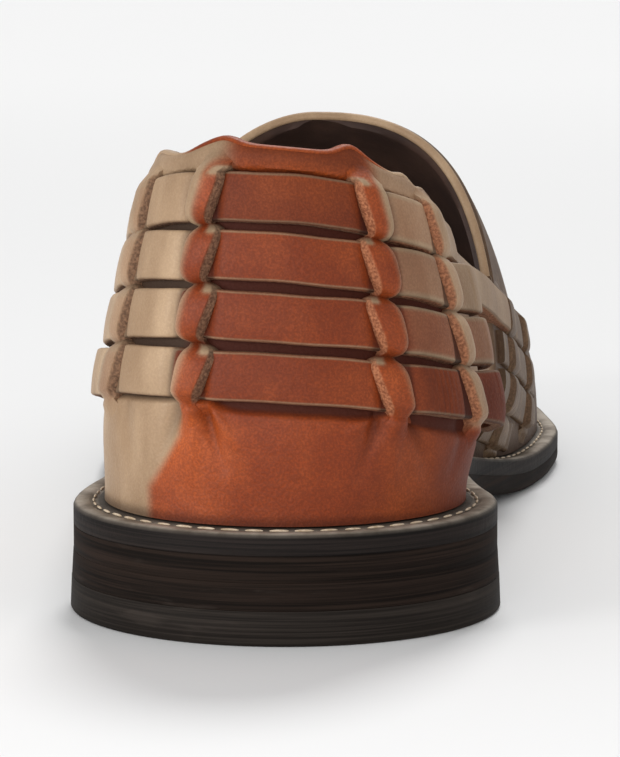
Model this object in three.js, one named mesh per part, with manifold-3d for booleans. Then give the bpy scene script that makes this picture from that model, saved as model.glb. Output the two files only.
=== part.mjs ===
// A woven leather loafer for the left foot, standing on its sole.
// X runs to the inner side of the foot, Y to the toe, Z up. All sizes are in millimetres.
// Inside this file a place is given by u, the way round the shoe in plan, and by height z.
// u is 0 at the back of the heel, positive round the inner side, negative round the outer side.
// The station a is the distance forward of the back of the heel.

import * as THREE from 'three';
import { mergeVertices } from 'three/addons/utils/BufferGeometryUtils.js';
import Module from 'manifold-3d';

const wasm = await Module();
wasm.setup();

// Main sizes of the shoe
const LENGTH = 296;
const AXIS_SHIFT = -4.7;
const HEEL_RADIUS = 36.6;
const HEEL_AXIS_X = -0.7;
const TOE_CENTRE = 258;
const TOE_TIP_X = 10;
const TOE_TURN_RADIUS = 32;
const TOE_BOW_SIDE = 0.5;
const TOE_BOW_TIP = 0.62;
const GAP = 0.3;

// Heel stack, outsole and welt
const TOP_PIECE_HEIGHT = 5.8;
const TOP_PIECE_BEVEL = 0.5;
const HEEL_HEIGHT = 10.4;
const HEEL_FLARE = 0.6;
const BREAST = 72;
const BREAST_HOLLOW = 5;
const SHANK_START = 75;
const SHANK_END = 165;
const TOE_ROLL = 205;
const TOE_SPRING = 11;
const OUTSOLE_HEEL = 4.1;
const OUTSOLE_FORE = 3.7;
const WELT_HEEL = 3.7;
const WELT_FORE = 3.4;
const EDGE_ROUND_FORE = 2.2;
const EDGE_ROUND_HEEL = 0.3;
const WELT_BEVEL = 0.5;
const WELT_INNER_INSET = 9.1;
const INSOLE_PAD = 2.5;

// Upper
const WALL = 2.2;
const FEATHER_INSET_HEEL = 7.2;
const FEATHER_INSET_FORE = 5.8;
const TUCK_HEIGHT = 16;
const BACK_LEAN = 0.45;
const COUNTER_STEP = 1.8;
const VAMP_STEP = 1.2;
const VAMP_BACK = 126;
const THROAT_BASE = 137;
const THROAT_TOP = 152;

// Straps and the narrow bands that hold them down
const STRAP_WIDTH = 7.8;
const STRAP_PROUD = 3.1;
const STRAP_EDGE = 0.8;
const VAMP_BAND_PROUD = 3.4;
const NECK_PROUD = 2.6;
const VAMP_NECK_PROUD = 2.0;
const BAND_NECK = 0.74;
const SUNK = 0.5;

// Outline of the sole edge in plan, from heel to toe: distance of each side from the heel's axis
const RIM = [
  { a: 36.6, inner: 35.9, outer: 37.3 },
  { a: 42, inner: 35.3, outer: 37.1 },
  { a: 50, inner: 33.6, outer: 36.2 },
  { a: 60, inner: 32.1, outer: 34.4 },
  { a: 75, inner: 30.8, outer: 33.0 },
  { a: 95, inner: 30.6, outer: 32.8 },
  { a: 115, inner: 33.4, outer: 34.4 },
  { a: 140, inner: 41.0, outer: 38.8 },
  { a: 160, inner: 47.6, outer: 42.4 },
  { a: 180, inner: 52.4, outer: 44.6 },
  { a: 200, inner: 54.6, outer: 45.2 },
  { a: 225, inner: 52.4, outer: 42.6 },
  { a: 245, inner: 46.6, outer: 37.2 },
  { a: 262, inner: 39.0, outer: 29.6 },
];

// Cross sections of the upper: ridge place and height, roundness and under-cut of each side
const SECTION = [
  { a: 36.6, ridgeX: -0.7, ridgeZ: 130, tuckInner: 4.2, tuckOuter: 1.7, powerInner: 1.25, powerOuter: 1.33 },
  { a: 75, ridgeX: 0.0, ridgeZ: 112, tuckInner: 6.2, tuckOuter: 3.4, powerInner: 1.8, powerOuter: 1.75 },
  { a: 110, ridgeX: 0.6, ridgeZ: 97, tuckInner: 9.0, tuckOuter: 6.0, powerInner: 2.3, powerOuter: 2.1 },
  { a: 150, ridgeX: 1.7, ridgeZ: 80, tuckInner: 3.4, tuckOuter: 3.6, powerInner: 2.5, powerOuter: 1.85 },
  { a: 185, ridgeX: 3.0, ridgeZ: 60, tuckInner: -0.4, tuckOuter: 1.8, powerInner: 2.25, powerOuter: 2.0 },
  { a: 215, ridgeX: 4.2, ridgeZ: 48, tuckInner: 1.2, tuckOuter: 1.5, powerInner: 2.2, powerOuter: 2.1 },
  { a: 245, ridgeX: 5.0, ridgeZ: 40, tuckInner: 1.6, tuckOuter: 1.4, powerInner: 2.3, powerOuter: 2.3 },
  { a: 258, ridgeX: 5.2, ridgeZ: 37.5, tuckInner: 1.6, tuckOuter: 1.4, powerInner: 2.4, powerOuter: 2.4 },
];

// Height of the collar's edge above the floor, before the tilt of the heel
const COLLAR = [
  { a: 0, z: 80.0 },
  { a: 5, z: 79.6 },
  { a: 14, z: 76.8 },
  { a: 24, z: 75.2 },
  { a: 34, z: 70.6 },
  { a: 45, z: 66.2 },
  { a: 60, z: 62.2 },
  { a: 100, z: 51.8 },
  { a: 137, z: 42.8 },
];

// The heel's straps and collar lie a little lower on the inner side
const TILT = 2.0;
const TILT_REACH = 40;
const TILT_FADE_START = 40;
const TILT_FADE_END = 130;

// The four straps, from the top one down: top edge at the back of the heel and fall going forward,
// the station where each ends, and how far its tail springs off the wall on each side
const STRAPS = [
  { top: 76.2, fall: 0.215, end: 140, liftInner: 0.0, liftOuter: 0.0 },
  { top: 66.6, fall: 0.170, end: 46, liftInner: 2.5, liftOuter: 0.6 },
  { top: 56.9, fall: 0.155, end: 50, liftInner: 4.0, liftOuter: 1.2 },
  { top: 47.1, fall: 0.135, end: 54, liftInner: 4.0, liftOuter: 2.2 },
];
const FALL_CURVE = 0.0002;
const FREE_STRAP_WIDTH = 6.8;
const FREE_STRAP_START = 20;
const FREE_STRAP_END = 45;

// The strips woven through each side of the vamp go on from the top strap: drop below it and stations
const STRIPS = [
  { drop: 0.0, start: 134, end: 178 },
  { drop: 7.7, start: 131, end: 186 },
  { drop: 15.4, start: 131, end: 172 },
  { drop: 23.0, start: 131, end: 156 },
];
const STRIP_WIDTH = 6.6;
const STRIP_PROUD = 2.5;
const STRIP_DIP = 2.1;

// The bands over the straps: edges round the shoe at the top and at the bottom strap, and proudness
const AROUND = HEEL_RADIUS * Math.PI / 2 - HEEL_RADIUS;
const HEEL_BANDS = [
  { side: -1, topFrom: 15.0, topTo: 22.8, lowFrom: 13.6, lowTo: 20.6, proud: 4.7 },
  { side: 1, topFrom: 19.4, topTo: 26.4, lowFrom: 18.2, lowTo: 24.8, proud: 4.7 },
  { side: -1, topFrom: 39.5, topTo: 48.5, lowFrom: 39.5, lowTo: 49.0, proud: 3.8 },
  { side: 1, topFrom: 41.0, topTo: 50.0, lowFrom: 44.0, lowTo: 52.0, proud: 4.2 },
];

// The bands over the strips of the vamp, the same on both sides: stations and number of strips held
const VAMP_BANDS = [
  { from: 140, to: 148, rows: 4 },
  { from: 164, to: 171, rows: 3 },
];

// Colours
const REDDISH_TAN = 0x9a5434;
const SOLE_BROWN = 0x2d2623;
const RUBBER_GREY = 0x3a3633;
const WELT_TAN = 0x8d8273;
const INSOLE_TAN = 0x8a6f52;

const lerp = THREE.MathUtils.lerp;
const smooth = THREE.MathUtils.smoothstep;
const HALF_TURN = Math.PI / 2;
const HEEL_ARC = HEEL_RADIUS * HALF_TURN;
const TOE_START = HEEL_ARC + TOE_CENTRE - HEEL_RADIUS;
const TOE_END = TOE_START + TOE_TURN_RADIUS * HALF_TURN;

// A smooth curve without overshoot through one column of a table
function read(table, key, at) {
  const last = table.length - 1;
  const slope = (i) => (table[i + 1][key] - table[i][key]) / (table[i + 1].a - table[i].a);
  const tangent = (i) => {
    if (i === 0) return slope(0);
    if (i === last) return slope(last - 1);
    const before = slope(i - 1);
    const after = slope(i);
    return before * after <= 0 ? 0 : 2 * before * after / (before + after);
  };
  const x = Math.min(Math.max(at, table[0].a), table[last].a);
  let i = 0;
  while (i < last - 1 && x > table[i + 1].a) i += 1;
  const width = table[i + 1].a - table[i].a;
  const t = (x - table[i].a) / width;
  const rise = table[i + 1][key] - table[i][key];
  const start = tangent(i) * width;
  const end = tangent(i + 1) * width;
  const bend = 3 * rise - 2 * start - end;
  const twist = start + end - 2 * rise;
  return table[i][key] + t * (start + t * (bend + t * twist));
}

// Heights of the sole's layers at a station
const heelShare = (a) => 1 - smooth(a, SHANK_START, SHANK_END);
const toeLift = (a) => TOE_SPRING * Math.max(0, (a - TOE_ROLL) / (LENGTH - TOE_ROLL)) ** 2;
const outsoleBottom = (a) => HEEL_HEIGHT * heelShare(a) + toeLift(a);
const outsoleTop = (a) => outsoleBottom(a) + lerp(OUTSOLE_FORE, OUTSOLE_HEEL, heelShare(a));
const weltBottom = (a) => outsoleTop(a) + GAP;
const weltTop = (a) => weltBottom(a) + lerp(WELT_FORE, WELT_HEEL, heelShare(a));
const featherZ = (a) => weltTop(a) + GAP;
const edgeRound = (a) => lerp(EDGE_ROUND_FORE, EDGE_ROUND_HEEL, heelShare(a));

const isInner = (u) => u >= 0;
const stationOf = (u) => Math.min(Math.max(Math.abs(u) - AROUND, HEEL_RADIUS), TOE_CENTRE);
const roundAt = (side, a) => side * (a + AROUND);
const rimX = (side, a) => side * read(RIM, side > 0 ? 'inner' : 'outer', a);

// How far the straps and the collar lie below their tables' heights
function tilt(u) {
  const share = Math.min(Math.max(u / TILT_REACH, -1), 1);
  return TILT * share * (1 - smooth(stationOf(u), TILT_FADE_START, TILT_FADE_END));
}
const collarZ = (u) => read(COLLAR, 'z', rimPoint(u)[1]) - tilt(u);

// The sole's edge in plan: half circle at the heel, table along the sides, bow at the toe
function rimPoint(u) {
  const side = isInner(u) ? 1 : -1;
  const along = Math.abs(u);
  if (along <= HEEL_ARC) {
    const turn = along / HEEL_RADIUS;
    return [HEEL_AXIS_X + side * HEEL_RADIUS * Math.sin(turn), HEEL_RADIUS * (1 - Math.cos(turn))];
  }
  if (along <= TOE_START) {
    const a = stationOf(u);
    return [rimX(side, a), a];
  }
  const step = 0.5;
  const lean = (rimX(side, TOE_CENTRE) - rimX(side, TOE_CENTRE - step)) / step;
  const reach = (LENGTH - TOE_CENTRE) * TOE_BOW_SIDE;
  const tipReach = TOE_TURN_RADIUS * TOE_BOW_TIP;
  const bow = new THREE.CubicBezierCurve(
    new THREE.Vector2(rimX(side, TOE_CENTRE), TOE_CENTRE),
    new THREE.Vector2(rimX(side, TOE_CENTRE) + lean * reach, TOE_CENTRE + reach),
    new THREE.Vector2(TOE_TIP_X + side * tipReach, LENGTH),
    new THREE.Vector2(TOE_TIP_X, LENGTH),
  );
  const point = bow.getPoint(Math.min(1, (along - TOE_START) / (TOE_END - TOE_START)));
  return [point.x, point.y];
}

// The line under the ridge that the cross sections are set out from
const spinePoint = (u) => [read(SECTION, 'ridgeX', stationOf(u)), stationOf(u)];

// The sole's edge moved inwards
function insetPoint(u, inset) {
  const [x, a] = rimPoint(u);
  const [kx, ka] = spinePoint(u);
  const reach = Math.hypot(kx - x, ka - a);
  return [x + (kx - x) / reach * inset, a + (ka - a) / reach * inset];
}

// Height of the upper's foot, level with the welt under the outer face of its leather
const footZ = (u) => featherZ(insetPoint(u, featherInset(u) - VAMP_STEP)[1]);

const featherInset = (u) => {
  const share = heelShare(stationOf(u));
  return lerp(FEATHER_INSET_FORE, FEATHER_INSET_HEEL, share);
};

// Turn of a cross section at a height: 0 at the feather edge, a quarter turn on the ridge
function turnAt(u, z) {
  const a = stationOf(u);
  const power = read(SECTION, isInner(u) ? 'powerInner' : 'powerOuter', a);
  const foot = footZ(u);
  const share = Math.min(Math.max((z - foot) / (read(SECTION, 'ridgeZ', a) - foot), 0), 1);
  return Math.asin(share ** (power / 2));
}

// The surface of the upper as drawn over the last
function lastPoint(u, turn) {
  const a = stationOf(u);
  const inner = isInner(u);
  const power = read(SECTION, inner ? 'powerInner' : 'powerOuter', a);
  const tuck = read(SECTION, inner ? 'tuckInner' : 'tuckOuter', a);
  const [bx, ba] = insetPoint(u, featherInset(u));
  const [kx, ka] = spinePoint(u);
  const foot = footZ(u);
  const rise = (read(SECTION, 'ridgeZ', a) - foot) * Math.sin(turn) ** (2 / power);
  const across = Math.cos(turn) ** (2 / power);
  const reach = Math.hypot(bx - kx, ba - ka);
  const full = (reach + tuck) * across - tuck * (1 - smooth(rise, 0, TUCK_HEIGHT)) * across;
  const lean = ka - ba > 0 ? BACK_LEAN : 1;
  const backShare = 1 - (1 - full / reach) * lean;
  return new THREE.Vector3(kx + (bx - kx) / reach * full, ka + (ba - ka) * backShare, foot + rise);
}

// Outward direction of that surface, level near the feather edge
const TURN_STEP = 0.01;
const WAY_STEP = 0.2;
const LEVEL_FOOT = 8;
function lastNormal(u, turn) {
  if (turn > HALF_TURN - 2 * TURN_STEP) {
    const a = stationOf(u);
    const rise = read(SECTION, 'ridgeZ', Math.min(a + 1, TOE_CENTRE)) - read(SECTION, 'ridgeZ', a - 1);
    return new THREE.Vector3(0, -rise / 2, 1).normalize();
  }
  const side = isInner(u) ? 1 : -1;
  const way = Math.min(Math.max(Math.abs(u), WAY_STEP), TOE_END - WAY_STEP);
  const low = Math.max(turn - TURN_STEP, 0);
  const high = turn + TURN_STEP;
  const along = lastPoint(side * (way + WAY_STEP), turn).sub(lastPoint(side * (way - WAY_STEP), turn));
  const up = lastPoint(side * way, high).sub(lastPoint(side * way, low));
  const normal = along.cross(up).multiplyScalar(side).normalize();
  const [bx, ba] = insetPoint(u, featherInset(u));
  const [kx, ka] = spinePoint(u);
  if (normal.x * (bx - kx) + normal.y * (ba - ka) < 0) normal.negate();
  if (way === WAY_STEP || way === TOE_END - WAY_STEP) normal.x = 0;
  const height = lastPoint(u, turn).z - footZ(u);
  normal.z *= Math.min(1, height / LEVEL_FOOT);
  return normal.normalize();
}

const onUpper = (u, turn, off) => lastPoint(u, turn).addScaledVector(lastNormal(u, turn), off);
const atHeight = (u, z, off) => onUpper(u, turnAt(u, z), off);

// A closed solid from points and triangles, with its faces turned out, set about the shoe's middle
const MIDDLE = (LENGTH - HEEL_FLARE) / 2;
const WELD = 1e-3;
function solid(points, triangles) {
  const geometry = new THREE.BufferGeometry();
  const flat = points.flatMap((p) => [p.x + AXIS_SHIFT, p.y - MIDDLE, p.z]);
  geometry.setAttribute('position', new THREE.Float32BufferAttribute(flat, 3));
  geometry.setIndex(triangles.flat());
  const merged = mergeVertices(geometry, WELD);
  const place = merged.getAttribute('position').array;
  const index = merged.index.array;
  const kept = [];
  let volume = 0;
  const first = new THREE.Vector3();
  const second = new THREE.Vector3();
  const third = new THREE.Vector3();
  for (let i = 0; i < index.length; i += 3) {
    const [p, q, r] = [index[i], index[i + 1], index[i + 2]];
    if (p === q || q === r || r === p) continue;
    kept.push([p, q, r]);
    first.fromArray(place, 3 * p);
    second.fromArray(place, 3 * q);
    third.fromArray(place, 3 * r);
    volume += first.dot(second.cross(third));
  }
  const triVerts = Uint32Array.from(kept.flatMap(([p, q, r]) => (volume > 0 ? [p, q, r] : [p, r, q])));
  const mesh = new wasm.Mesh({ numProp: 3, vertProperties: Float32Array.from(place), triVerts });
  return new wasm.Manifold(mesh);
}

// A node of the scene from a solid
function node(name, body, colour, roughness) {
  const mesh = body.getMesh();
  const geometry = new THREE.BufferGeometry();
  geometry.setAttribute('position', new THREE.BufferAttribute(mesh.vertProperties, 3));
  geometry.setIndex(new THREE.BufferAttribute(mesh.triVerts, 1));
  geometry.computeVertexNormals();
  const material = new THREE.MeshStandardMaterial({ color: colour, roughness, metalness: 0 });
  const part = new THREE.Mesh(geometry, material);
  part.name = name;
  return part;
}

// Triangles between two rings of equally many points; open rings are not closed round
function joinRings(from, to, count, closed) {
  const out = [];
  const steps = closed ? count : count - 1;
  for (let i = 0; i < steps; i += 1) {
    const next = (i + 1) % count;
    out.push([from + i, from + next, to + next], [from + i, to + next, to + i]);
  }
  return out;
}

// The way round one side for the sole's rings
const HEEL_STEPS = 8;
const TOE_STEPS = 7;
const SIDE_RUNS = [
  { from: HEEL_RADIUS, to: SHANK_START, steps: 3 },
  { from: SHANK_START, to: SHANK_END, steps: 8 },
  { from: SHANK_END, to: TOE_ROLL, steps: 3 },
  { from: TOE_ROLL, to: TOE_CENTRE, steps: 4 },
];
function waysRound() {
  const ways = [];
  for (let i = 0; i < HEEL_STEPS; i += 1) ways.push(HEEL_ARC * i / HEEL_STEPS);
  for (const { from, to, steps } of SIDE_RUNS) {
    for (let i = 0; i < steps; i += 1) ways.push(lerp(from, to, i / steps) + AROUND);
  }
  for (let i = 0; i <= TOE_STEPS; i += 1) ways.push(lerp(TOE_START, TOE_END, i / TOE_STEPS));
  return ways;
}
const WAYS = waysRound();

// One ring round the whole shoe: outer side heel to toe, then inner side back to the heel
function ring(inset, height) {
  const last = WAYS.length - 1;
  const place = (u) => {
    const [x, y] = insetPoint(u, inset(rimPoint(u)[1]));
    return new THREE.Vector3(x, y, height(y));
  };
  const outer = WAYS.map((way) => place(way === 0 ? 0 : -way));
  const inner = WAYS.slice(1, last).reverse().map((way) => place(way));
  return [...outer, ...inner];
}

// A layer of the sole: rings joined one on the other and closed below and above
function layer(rings) {
  const count = rings[0].length;
  const triangles = [];
  for (let i = 0; i + 1 < rings.length; i += 1) {
    triangles.push(...joinRings(i * count, (i + 1) * count, count, true));
  }
  const far = (i) => (i === 0 ? 0 : count - i);
  const half = WAYS.length - 1;
  const top = (rings.length - 1) * count;
  for (let i = 0; i < half; i += 1) {
    triangles.push([i, far(i), far(i + 1)], [i, far(i + 1), i + 1]);
    triangles.push([top + i, top + far(i + 1), top + far(i)], [top + i, top + i + 1, top + far(i + 1)]);
  }
  return solid(rings.flat(), triangles);
}

// A heel piece: the heel's outline closed by a hollow breast line
const BREAST_STEPS = 6;
const BREAST_CLEAR = 4;
function heelLayer(levels) {
  const outline = (flare) => {
    const arc = [];
    const ways = WAYS.filter((way) => way < roundAt(1, BREAST) - BREAST_CLEAR);
    ways.push(roundAt(1, BREAST));
    for (const way of ways) arc.push(insetPoint(-way, -flare));
    const [left] = insetPoint(-ways.at(-1), -flare);
    const [right] = insetPoint(ways.at(-1), -flare);
    for (let i = 1; i < BREAST_STEPS; i += 1) {
      const t = i / BREAST_STEPS;
      arc.push([lerp(left, right, t), BREAST - BREAST_HOLLOW * Math.sin(Math.PI * t)]);
    }
    for (const way of ways.slice(1).reverse()) arc.push(insetPoint(way, -flare));
    return arc.map(([x, y]) => new THREE.Vector2(x, y));
  };
  const rings = levels.map(({ z, flare }) => outline(flare).map((p) => new THREE.Vector3(p.x, p.y, z)));
  const count = rings[0].length;
  const faces = THREE.ShapeUtils.triangulateShape(outline(0), []);
  const triangles = [];
  for (let i = 0; i + 1 < rings.length; i += 1) {
    triangles.push(...joinRings(i * count, (i + 1) * count, count, true));
  }
  const clockwise = THREE.ShapeUtils.isClockWise(outline(0));
  const top = (rings.length - 1) * count;
  for (const [p, q, r] of faces) {
    const [s, t] = clockwise ? [q, r] : [r, q];
    triangles.push([p, s, t], [top + p, top + t, top + s]);
  }
  return solid(rings.flat(), triangles);
}

// The welt: a band all round on the outsole, open in the middle
function weltRing() {
  const loops = [
    ring(() => 0, weltBottom),
    ring(() => 0, (a) => weltTop(a) - WELT_BEVEL),
    ring(() => WELT_BEVEL, weltTop),
    ring(() => WELT_INNER_INSET, weltTop),
    ring(() => WELT_INNER_INSET, weltBottom),
  ];
  const count = loops[0].length;
  const triangles = [];
  for (let i = 0; i < loops.length; i += 1) {
    const next = (i + 1) % loops.length;
    triangles.push(...joinRings(i * count, next * count, count, true));
  }
  return solid(loops.flat(), triangles);
}

// Columns of the upper's wall: foot and head of each, on one side from heel to toe
const OUTER_ROWS = 8;
const INNER_ROWS = 6;
const WALL_HEEL_STEPS = 7;
const SIDE_COLUMNS = [
  { foot: HEEL_RADIUS, head: HEEL_RADIUS },
  { foot: 46, head: 46 },
  { foot: 56, head: 56 },
  { foot: 66, head: 66 },
  { foot: 76, head: 76 },
  { foot: 88, head: 88 },
  { foot: 100, head: 100 },
  { foot: 113, head: 113 },
  { foot: VAMP_BACK, head: VAMP_BACK },
  { foot: VAMP_BACK + VAMP_STEP, head: VAMP_BACK + VAMP_STEP },
  { foot: 135, head: 136.5 },
];
const THROAT_FOOT = { from: 135, to: 160 };
const THROAT_STEPS = 6;
const RIDGE_STEPS = 9;
const WALL_TOE_STEPS = 6;
function wallColumns() {
  const columns = [];
  const collarTurn = (u) => turnAt(u, collarZ(u));
  for (let i = 0; i < WALL_HEEL_STEPS; i += 1) {
    const way = HEEL_ARC * i / WALL_HEEL_STEPS;
    columns.push({ foot: way, head: way, turn: collarTurn, step: 0 });
  }
  for (const { foot, head } of SIDE_COLUMNS) {
    const step = foot > VAMP_BACK ? VAMP_STEP : 0;
    columns.push({ foot: foot + AROUND, head: head + AROUND, turn: collarTurn, step });
  }
  for (let i = 1; i <= THROAT_STEPS; i += 1) {
    const t = i / THROAT_STEPS;
    const head = lerp(THROAT_BASE, THROAT_TOP, Math.sin(t * HALF_TURN));
    const foot = lerp(THROAT_FOOT.from, THROAT_FOOT.to, t);
    const turn = (u) => lerp(collarTurn(u), HALF_TURN, t);
    columns.push({ foot: foot + AROUND, head: head + AROUND, turn, step: VAMP_STEP });
  }
  const ridge = () => HALF_TURN;
  for (let i = 1; i <= RIDGE_STEPS; i += 1) {
    const head = lerp(THROAT_TOP, TOE_CENTRE, i / RIDGE_STEPS) + AROUND;
    const foot = lerp(THROAT_FOOT.to, TOE_CENTRE, i / RIDGE_STEPS) + AROUND;
    columns.push({ foot, head, turn: ridge, step: VAMP_STEP, closed: true });
  }
  for (let i = 1; i <= WALL_TOE_STEPS; i += 1) {
    const way = lerp(TOE_START, TOE_END, i / WALL_TOE_STEPS);
    columns.push({ foot: way, head: way, turn: ridge, step: VAMP_STEP, closed: true });
  }
  return columns;
}

// The wall of the upper, open at the collar and underneath
function wall() {
  const half = wallColumns();
  const columns = [
    ...half.map((column) => ({ ...column, side: -1 })),
    ...half.slice(1, -1).reverse().map((column) => ({ ...column, side: 1 })),
  ];
  const count = columns.length;
  const row = (share, offset) => columns.map((column) => {
    const way = lerp(column.foot, column.head, share);
    const u = way === 0 ? 0 : column.side * way;
    const head = column.side * column.head;
    const point = onUpper(u, column.turn(head) * share, offset(column));
    if (way === TOE_END) point.x = lerp(insetPoint(u, featherInset(u))[0], point.x, share);
    return point;
  });
  const rows = [];
  for (let i = 0; i <= OUTER_ROWS; i += 1) rows.push(row(i / OUTER_ROWS, (column) => column.step));
  for (let i = INNER_ROWS; i >= 0; i -= 1) rows.push(row(i / INNER_ROWS, () => -WALL));
  const triangles = [];
  for (let i = 0; i < rows.length; i += 1) {
    const next = (i + 1) % rows.length;
    const faces = joinRings(i * count, next * count, count, true);
    const rimRow = i === OUTER_ROWS;
    faces.forEach((face, n) => {
      const from = Math.floor(n / 2);
      const bothClosed = columns[from].closed || columns[(from + 1) % count].closed;
      if (!(rimRow && bothClosed)) triangles.push(face);
    });
  }
  return solid(rows.flat(), triangles);
}

// A raised patch on the wall: place(s, t) gives the way round and the height,
// low(s, t) and high(s, t) how far its two faces stand off
function patch(across, down, place, low, high) {
  const points = [];
  for (const face of [high, low]) {
    for (const t of down) {
      for (const s of across) {
        const [u, z] = place(s, t);
        points.push(atHeight(u, z, face(s, t)));
      }
    }
  }
  const wide = across.length;
  const tall = down.length;
  const sheet = wide * tall;
  const at = (i, j) => j * wide + i;
  const triangles = [];
  for (let j = 0; j + 1 < tall; j += 1) {
    for (let i = 0; i + 1 < wide; i += 1) {
      const [p, q, r, s] = [at(i, j), at(i + 1, j), at(i + 1, j + 1), at(i, j + 1)];
      triangles.push([p, q, r], [p, r, s]);
      triangles.push([sheet + p, sheet + r, sheet + q], [sheet + p, sheet + s, sheet + r]);
    }
  }
  const edge = [];
  for (let i = 0; i < wide - 1; i += 1) edge.push(at(i, 0));
  for (let j = 0; j < tall - 1; j += 1) edge.push(at(wide - 1, j));
  for (let i = wide - 1; i > 0; i -= 1) edge.push(at(i, tall - 1));
  for (let j = tall - 1; j > 0; j -= 1) edge.push(at(0, j));
  edge.forEach((p, n) => {
    const q = edge[(n + 1) % edge.length];
    triangles.push([p, sheet + q, q], [p, sheet + p, sheet + q]);
  });
  return solid(points, triangles);
}

const spread = (from, to, steps) => Array.from({ length: steps + 1 }, (_, i) => lerp(from, to, i / steps));

// The counter: a raised sheet round the heel with a slanting front edge
const COUNTER_FRONT_LOW = 40;
const COUNTER_FRONT_TOP = 34;
const COLLAR_LIP = 0.6;
const COUNTER_ACROSS = 18;
const COUNTER_DOWN = 6;
function counter() {
  const place = (s, t) => {
    const u = s * (lerp(COUNTER_FRONT_LOW, COUNTER_FRONT_TOP, t) + AROUND);
    return [u, lerp(footZ(u), collarZ(u) + COLLAR_LIP, t)];
  };
  const across = spread(-1, 1, COUNTER_ACROSS);
  return patch(across, spread(0, 1, COUNTER_DOWN), place, () => -SUNK, () => COUNTER_STEP);
}

// Height across a strap or strip of the given top edge, t from 0 at its lower to 1 at its upper edge
function strapTop(strap, u) {
  const a = rimPoint(u)[1];
  return strap.top - strap.fall * a - FALL_CURVE * a * a - tilt(u);
}
function strapWidth(strap, u) {
  const free = strap === STRAPS[0] ? smooth(rimPoint(u)[1], FREE_STRAP_START, FREE_STRAP_END) : 0;
  return lerp(STRAP_WIDTH, FREE_STRAP_WIDTH, free);
}
const strapHeight = (strap, u, t) => strapTop(strap, u) - strapWidth(strap, u) * (1 - t);
const stripHeight = (strip, u, t) => strapTop(STRAPS[0], u) - strip.drop - STRIP_WIDTH * (1 - t);
const EDGE_SHARE = 0.12;
const ACROSS_STRAP = [0, EDGE_SHARE, 1 - EDGE_SHARE, 1];
const faceOf = (proud, t) => (t === 0 || t === 1 ? proud - STRAP_EDGE : proud);

// A strap round the heel; the lower three end in tails that spring away from the wall
const TAIL_LENGTH = 18;
const TAIL_CURVE = 1.4;
const STRAP_THICKNESS = 2.2;
const FREE_FROM = 1;
const STRAP_STEP = 7;
const STRIP_STEP = 9;
function heelStrap(strap) {
  const end = strap.end + AROUND;
  const place = (s, t) => [s, strapHeight(strap, s, t)];
  const spring = (s) => {
    const lift = isInner(s) ? strap.liftInner : strap.liftOuter;
    return lift * Math.max(0, (Math.abs(s) - end + TAIL_LENGTH) / TAIL_LENGTH) ** TAIL_CURVE;
  };
  const low = (s) => {
    const away = spring(s);
    return away > FREE_FROM ? away + STRAP_PROUD - STRAP_THICKNESS : away - SUNK;
  };
  const high = (s, t) => faceOf(STRAP_PROUD, t) + spring(s);
  return patch(spread(-end, end, 2 * Math.round(end / STRAP_STEP)), ACROSS_STRAP, place, low, high);
}

// A strip woven through the side of the vamp, which dips into its last slit
function vampStrip(strip, side) {
  const place = (s, t) => [side * (s + AROUND), stripHeight(strip, side * (s + AROUND), t)];
  const across = spread(strip.start, strip.end, Math.round((strip.end - strip.start) / STRIP_STEP));
  const high = (s, t) => faceOf(s === strip.end ? STRIP_DIP : STRIP_PROUD, t);
  return patch(across, ACROSS_STRAP, place, () => -SUNK, high);
}

// A narrow band of the upper's own leather, bulging over each strap and necked between them.
// rows holds the height function of each strap, edges(share) the band's two edges round the shoe.
const BAND_ABOVE = 1.14;
const BAND_BELOW = -0.2;
const BAND_SHOULDER = 0.06;
const BAND_ROUND = 0.7;
const BAND_EDGE = 0.5;
const BAND_RISE = 0.2;
const ACROSS_BAND = [0, 0.25, 0.75, 1];
function band(rows, edges, { base, neck, proud }) {
  const levels = [];
  const shoulder = proud - BAND_ROUND;
  rows.forEach((height, i) => {
    levels.push({ height, t: BAND_ABOVE, off: i === 0 ? base + BAND_RISE : neck, wide: BAND_NECK });
    levels.push({ height, t: 1 - BAND_SHOULDER, off: shoulder, wide: 1 });
    levels.push({ height, t: 0.5, off: proud, wide: 1 });
    levels.push({ height, t: BAND_SHOULDER, off: shoulder, wide: 1 });
  });
  levels.push({ height: rows.at(-1), t: BAND_BELOW, off: base + BAND_RISE, wide: BAND_NECK });
  const place = (s, i) => {
    const [from, to] = edges(i / (levels.length - 1));
    const u = (from + to) / 2 + (s - 0.5) * (to - from) * levels[i].wide;
    return [u, levels[i].height(u, levels[i].t)];
  };
  const high = (s, i) => levels[i].off - (s === 0 || s === 1 ? BAND_EDGE : 0);
  return patch(ACROSS_BAND, levels.map((_, i) => i), place, () => -SUNK, high);
}

function heelBand({ side, topFrom, topTo, lowFrom, lowTo, proud }) {
  const rows = STRAPS.map((strap) => (u, t) => strapHeight(strap, u, t));
  const edges = (share) => [side * lerp(topFrom, lowFrom, share), side * lerp(topTo, lowTo, share)];
  return band(rows, edges, { base: COUNTER_STEP, neck: NECK_PROUD, proud });
}

function vampBand({ from, to, rows }, side) {
  const heights = STRIPS.slice(0, rows).map((strip) => (u, t) => stripHeight(strip, u, t));
  const edges = () => [side * (from + AROUND), side * (to + AROUND)];
  return band(heights, edges, { base: VAMP_STEP, neck: VAMP_NECK_PROUD, proud: VAMP_BAND_PROUD });
}

// The whole upper in one solid
function upper() {
  let body = wall().add(counter());
  for (const strap of STRAPS) body = body.add(heelStrap(strap));
  for (const row of HEEL_BANDS) body = body.add(heelBand(row));
  for (const side of [-1, 1]) {
    for (const strip of STRIPS) body = body.add(vampStrip(strip, side));
    for (const row of VAMP_BANDS) body = body.add(vampBand(row, side));
  }
  return body;
}

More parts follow.
